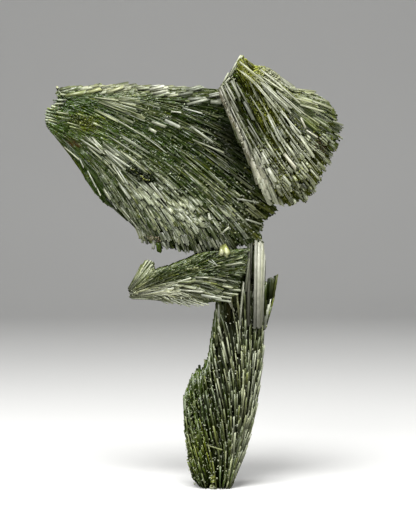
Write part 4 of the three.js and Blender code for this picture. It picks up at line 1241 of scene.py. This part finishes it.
stem_front = gather([
    # Low-lying crystals, darkened as painted shade in the gaps
    thatch(stem, 34, 0.34, (6, 16), (0.25, 0.45), 33, rise=-2, wild=0.9, pale=-0.2, dark=0.9,
        green=0.2),
    ridges(stem, 22, (0.35, 0.6), (0.3, 1.5), sink=0.15, forks=(0, 0.3, 0.12, 0.45), cut=0.3,
        link=(2.5, 9), strands=1, pale=0.4, white=0.05),
    ridges(stem, 28, (0.2, 0.4), (-0.7, 0.3), strands=1, forks=(0, 0.2, 0.5, 0.3), cut=0.5,
        link=(2, 6), pale=0.2),
    bundles(stem, 26, (0.3, 0.8), 0.4, (1.5, 4), (0.25, 0.45), (0.2, 1), start=0.25, high=0.3,
        pale=0.35, green=0.2),
    ridges(stem, 10, (0.35, 0.6), (0.2, 1.1), end=0.6, forks=(0, 0.2, 0.1, 0.3), cut=0.3,
        link=(2, 6)),
    bundles(stem, 18, (0.3, 0.7), 0.4, (1.5, 5), (0.25, 0.4), (0.2, 1.1), start=0.2, pale=0.2),
    ridges(stem, 5, (0.35, 0.6), (0.6, 1.4), low=0.88, forks=(0.08, 0.2), cut=0.25, end=0.66,
        link=(4, 9), pale=1.1, white=0.15),
    # The long pale blade at the neck
    blades(stem, (87.2, 68, 86.2, 100, 0.7, 1.5), (88.4, 66.5, 87.8, 100.5, 0.85, 1.8),
        (89.6, 65.5, 89.5, 101, 0.8, 1.75), (90.8, 66, 91.2, 100, 0.85, 1.9),
        (92, 65.5, 92.9, 101, 0.8, 1.8), (93.2, 66, 94.6, 100, 0.85, 1.85),
        (94.4, 66, 96.2, 97, 0.75, 1.7), (95.6, 68, 97.6, 95, 0.6, 1.6), sink=0, flat=0.8, pale=1.5,
        tan=0.7, white=0.45),
    blades(stem, (82, 81, 85, 91, 0.7, 1.8), (80, 84, 86, 85, 0.6, 1.8),
        (77, 90, 80, 101, 0.7, 1.2), (72, 80, 75, 97, 0.6, 1.2), (72, 70, 73, 82, 0.5, 1),
        (87.5, 86, 88.5, 101, 0.6, 1.3), (60, 103, 67, 90, 0.5, 0.9), (54, 93, 53.5, 105, 0.5, 0.8),
        sink=0, flat=1, **BRIGHT),
    nodules(stem, 380, (0.02, 0.9), (0.05, 0.95), (0.2, 0.5), 0.9, pale=0.7, white=0.3),
    nodules(stem, 18, (0.4, 0.58), (0, 0.02), (0.4, 0.9), 0, pale=0.6, tan=0.3),
    nodules(stem, 20, (0.42, 0.5), (0.04, 0.08), (0.4, 0.9), 0.4, yellow=0.8, green=0.4),
    nodules(stem, 190, (0, 0.28), (0.35, 1.04), (0.25, 0.6), 0.5, pale=0.3, green=0.1),
    nodules(stem, 30, (0.88, 0.96), (1, 1.04), (0.5, 1.2), 1, brown=0.7, tan=0.4),
    # The stray crystal that lies across the others near the foot
    blades(stem, (33.6, 33.9, 62, 21.1, 0.34, 1.8), sink=0.3, pale=0.5, yellow=0.5),
])
stem_rest = gather([
    thatch(stem, 20, 0.55, (8, 18), (0.5, 1.2), 34, side="back", low=0.08, high=0.96, wild=0.8),
    thatch(stem, 30, 0.5, (1.5, 3.5), (0.4, 0.8), 38, side="back", high=0.12, rise=-0.4, wild=0.4),
    ridges(stem, 30, (0.8, 1.6), (0.2, 1.2), side="back", forks=(0, 0.4, 0.2), low=0.08, high=0.95,
        cut=0.4),
    nodules(stem, 120, (0.1, 0.8), (0.1, 1), (0.4, 0.9), -0.3, side="first", pale=0.3),
    thatch(stem, 14, 0.45, (3, 8), (0.4, 0.9), 35, side="first", rise=-0.9, sink=1.2),
    thatch(stem, 24, 0.45, (3, 10), (0.3, 0.6), 36, side="last", rise=-0.7, pale=0.6),
    bristle(stem, 0.75, (5, 10), (0.5, 1.1), ragged=0.06),
])
stem_pieces = [
    bed_piece("stem_sheaf_bed", stem, start=0),
    crystal_piece("stem_sheaf_front", stem_front, stem_zones, 131),
    crystal_piece("stem_sheaf_back", stem_rest, stem_zones, 132),
]
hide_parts("stem_sheaf")

# The splinter
splinter = Sheaf(
    SPLINTER_RAYS,
    half=lambda s: (1 + 0.5 * s) * MM,
    middle=lambda x: -0.8 * MM + 0 * x,
    edge=ONE,
    seed=53,
    notch=(0.12, 6),
)
splinter_crystals = gather([
    thatch(splinter, 5, 0.4, (4, 9), (0.4, 0.9), 43, relief=0.2),
    thatch(splinter, 4, 0.5, (4, 9), (0.4, 0.9), 44, side="back", relief=0.2),
    blades(splinter, (45, 2, 65, 60, 0.8, 0.6), (60, 10, 80, 66, 0.4, 0.5),
        (20, 5, 40, 40, 0.6, 0.5), **BRIGHT),
    blades(splinter, (20, 30, 20, 100, 0.9, 0.7), (50, 50, 55, 101, 0.8, 0.8),
        (75, 50, 80, 102, 0.6, 0.6), (93, 10, 94, 90, 0.4, 0.4), (5, 50, 5, 97, 0.8, 0.8),
        (35, 60, 35, 104, 0.8, 0.9), (65, 60, 68, 98, 0.8, 0.9), (93, 60, 95, 103, 0.6, 0.8),
        dark=0.3, green=0.3),
    bristle(splinter, 0.5, (4, 8), (0.4, 0.8), ragged=0.08),
])
splinter_piece = crystal_piece("stem_splinter_crystals", splinter_crystals,
                               splinter_zones, 141)
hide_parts("stem_splinter")

# The floor, a sheet of paper that curves up behind the cluster
FLOOR_WIDE = 2.4
FLOOR_FRONT, FLOOR_BACK = -0.5, 1.1
FLOOR_TOP = 1.8
BEND = 0.5  # its radius
BEND_START = FLOOR_BACK - BEND
BEND_STEPS = 16


def studio_floor():
    outline = [(FLOOR_FRONT, 0.0), (BEND_START, 0.0)]
    for k in range(1, BEND_STEPS + 1):
        turn = k / BEND_STEPS * math.pi / 2
        outline.append((BEND_START + BEND * math.sin(turn), BEND - BEND * math.cos(turn)))
    outline.append((FLOOR_BACK, FLOOR_TOP))
    points = [(side * FLOOR_WIDE / 2, y, z) for y, z in outline for side in (-1, 1)]
    faces = [(2 * k, 2 * k + 1, 2 * k + 3, 2 * k + 2) for k in range(len(outline) - 1)]
    mesh = bpy.data.meshes.new("studio_floor")
    mesh.from_pydata(points, [], faces)
    for face in mesh.polygons:
        face.use_smooth = True
    paper = speckled_material("studio_paper", 3.0, 2.0, PAPER_COLORS, 0.7)[0]
    floor = new_object("studio_floor", mesh, paper)
    floor.visible_glossy = False


# Lights: place, width and height, power in watts. All look at the middle of the cluster.
MIDDLE = Vector((0, 0, 0.065))
LIGHTS = {
    "top_softbox": ((-0.05, -0.26, 0.55), (0.32, 0.24), 7),
    "left_softbox": ((-0.50, -0.15, 0.42), (0.2, 0.3), 2.4),
    "right_softbox": ((0.45, -0.20, 0.42), (0.2, 0.3), 3.2),
    "front_softbox": ((-0.22, -0.55, 0.42), (0.35, 0.3), 3.4),
}
WORLD_COLOR = (0.8, 0.8, 0.8, 1)
WORLD_STRENGTH = 0.01


def soft_light(name, place, size, power):
    light = bpy.data.lights.new(name, "AREA")
    light.shape = "RECTANGLE"
    light.size, light.size_y = size
    light.energy = power
    lamp = bpy.data.objects.new(name, light)
    lamp.location = place
    lamp.rotation_euler = (MIDDLE - Vector(place)).to_track_quat("-Z", "Y").to_euler()
    bpy.context.collection.objects.link(lamp)


studio_floor()
for name, (place, size, power) in LIGHTS.items():
    soft_light(name, place, size, power)
bpy.context.scene.view_settings.view_transform = "Standard"
world = bpy.data.worlds.new("studio")
world.use_nodes = True
sky = world.node_tree.nodes["Background"]
sky.inputs["Color"].default_value = WORLD_COLOR
sky.inputs["Strength"].default_value = WORLD_STRENGTH
bpy.context.scene.world = world

# The camera at the photograph's angle: level with the cluster, from a little above
DISTANCE = 0.6
ELEVATION = 3.0 * DEGREE
AIM = Vector((-1.7 * MM, 0.0, 63.2 * MM))
FRAME_HEIGHT = 144.0 * MM  # what the frame's height shows at the cluster
SENSOR = 24.0
camera_data = bpy.data.cameras.new("camera")
camera_data.sensor_fit = "VERTICAL"
camera_data.sensor_height = SENSOR
camera_data.lens = SENSOR * DISTANCE / FRAME_HEIGHT
camera = bpy.data.objects.new("camera", camera_data)
camera.location = AIM + DISTANCE * Vector((0, -math.cos(ELEVATION), math.sin(ELEVATION)))
camera.rotation_euler = (AIM - camera.location).to_track_quat("-Z", "Y").to_euler()
bpy.context.collection.objects.link(camera)
bpy.context.scene.camera = camera
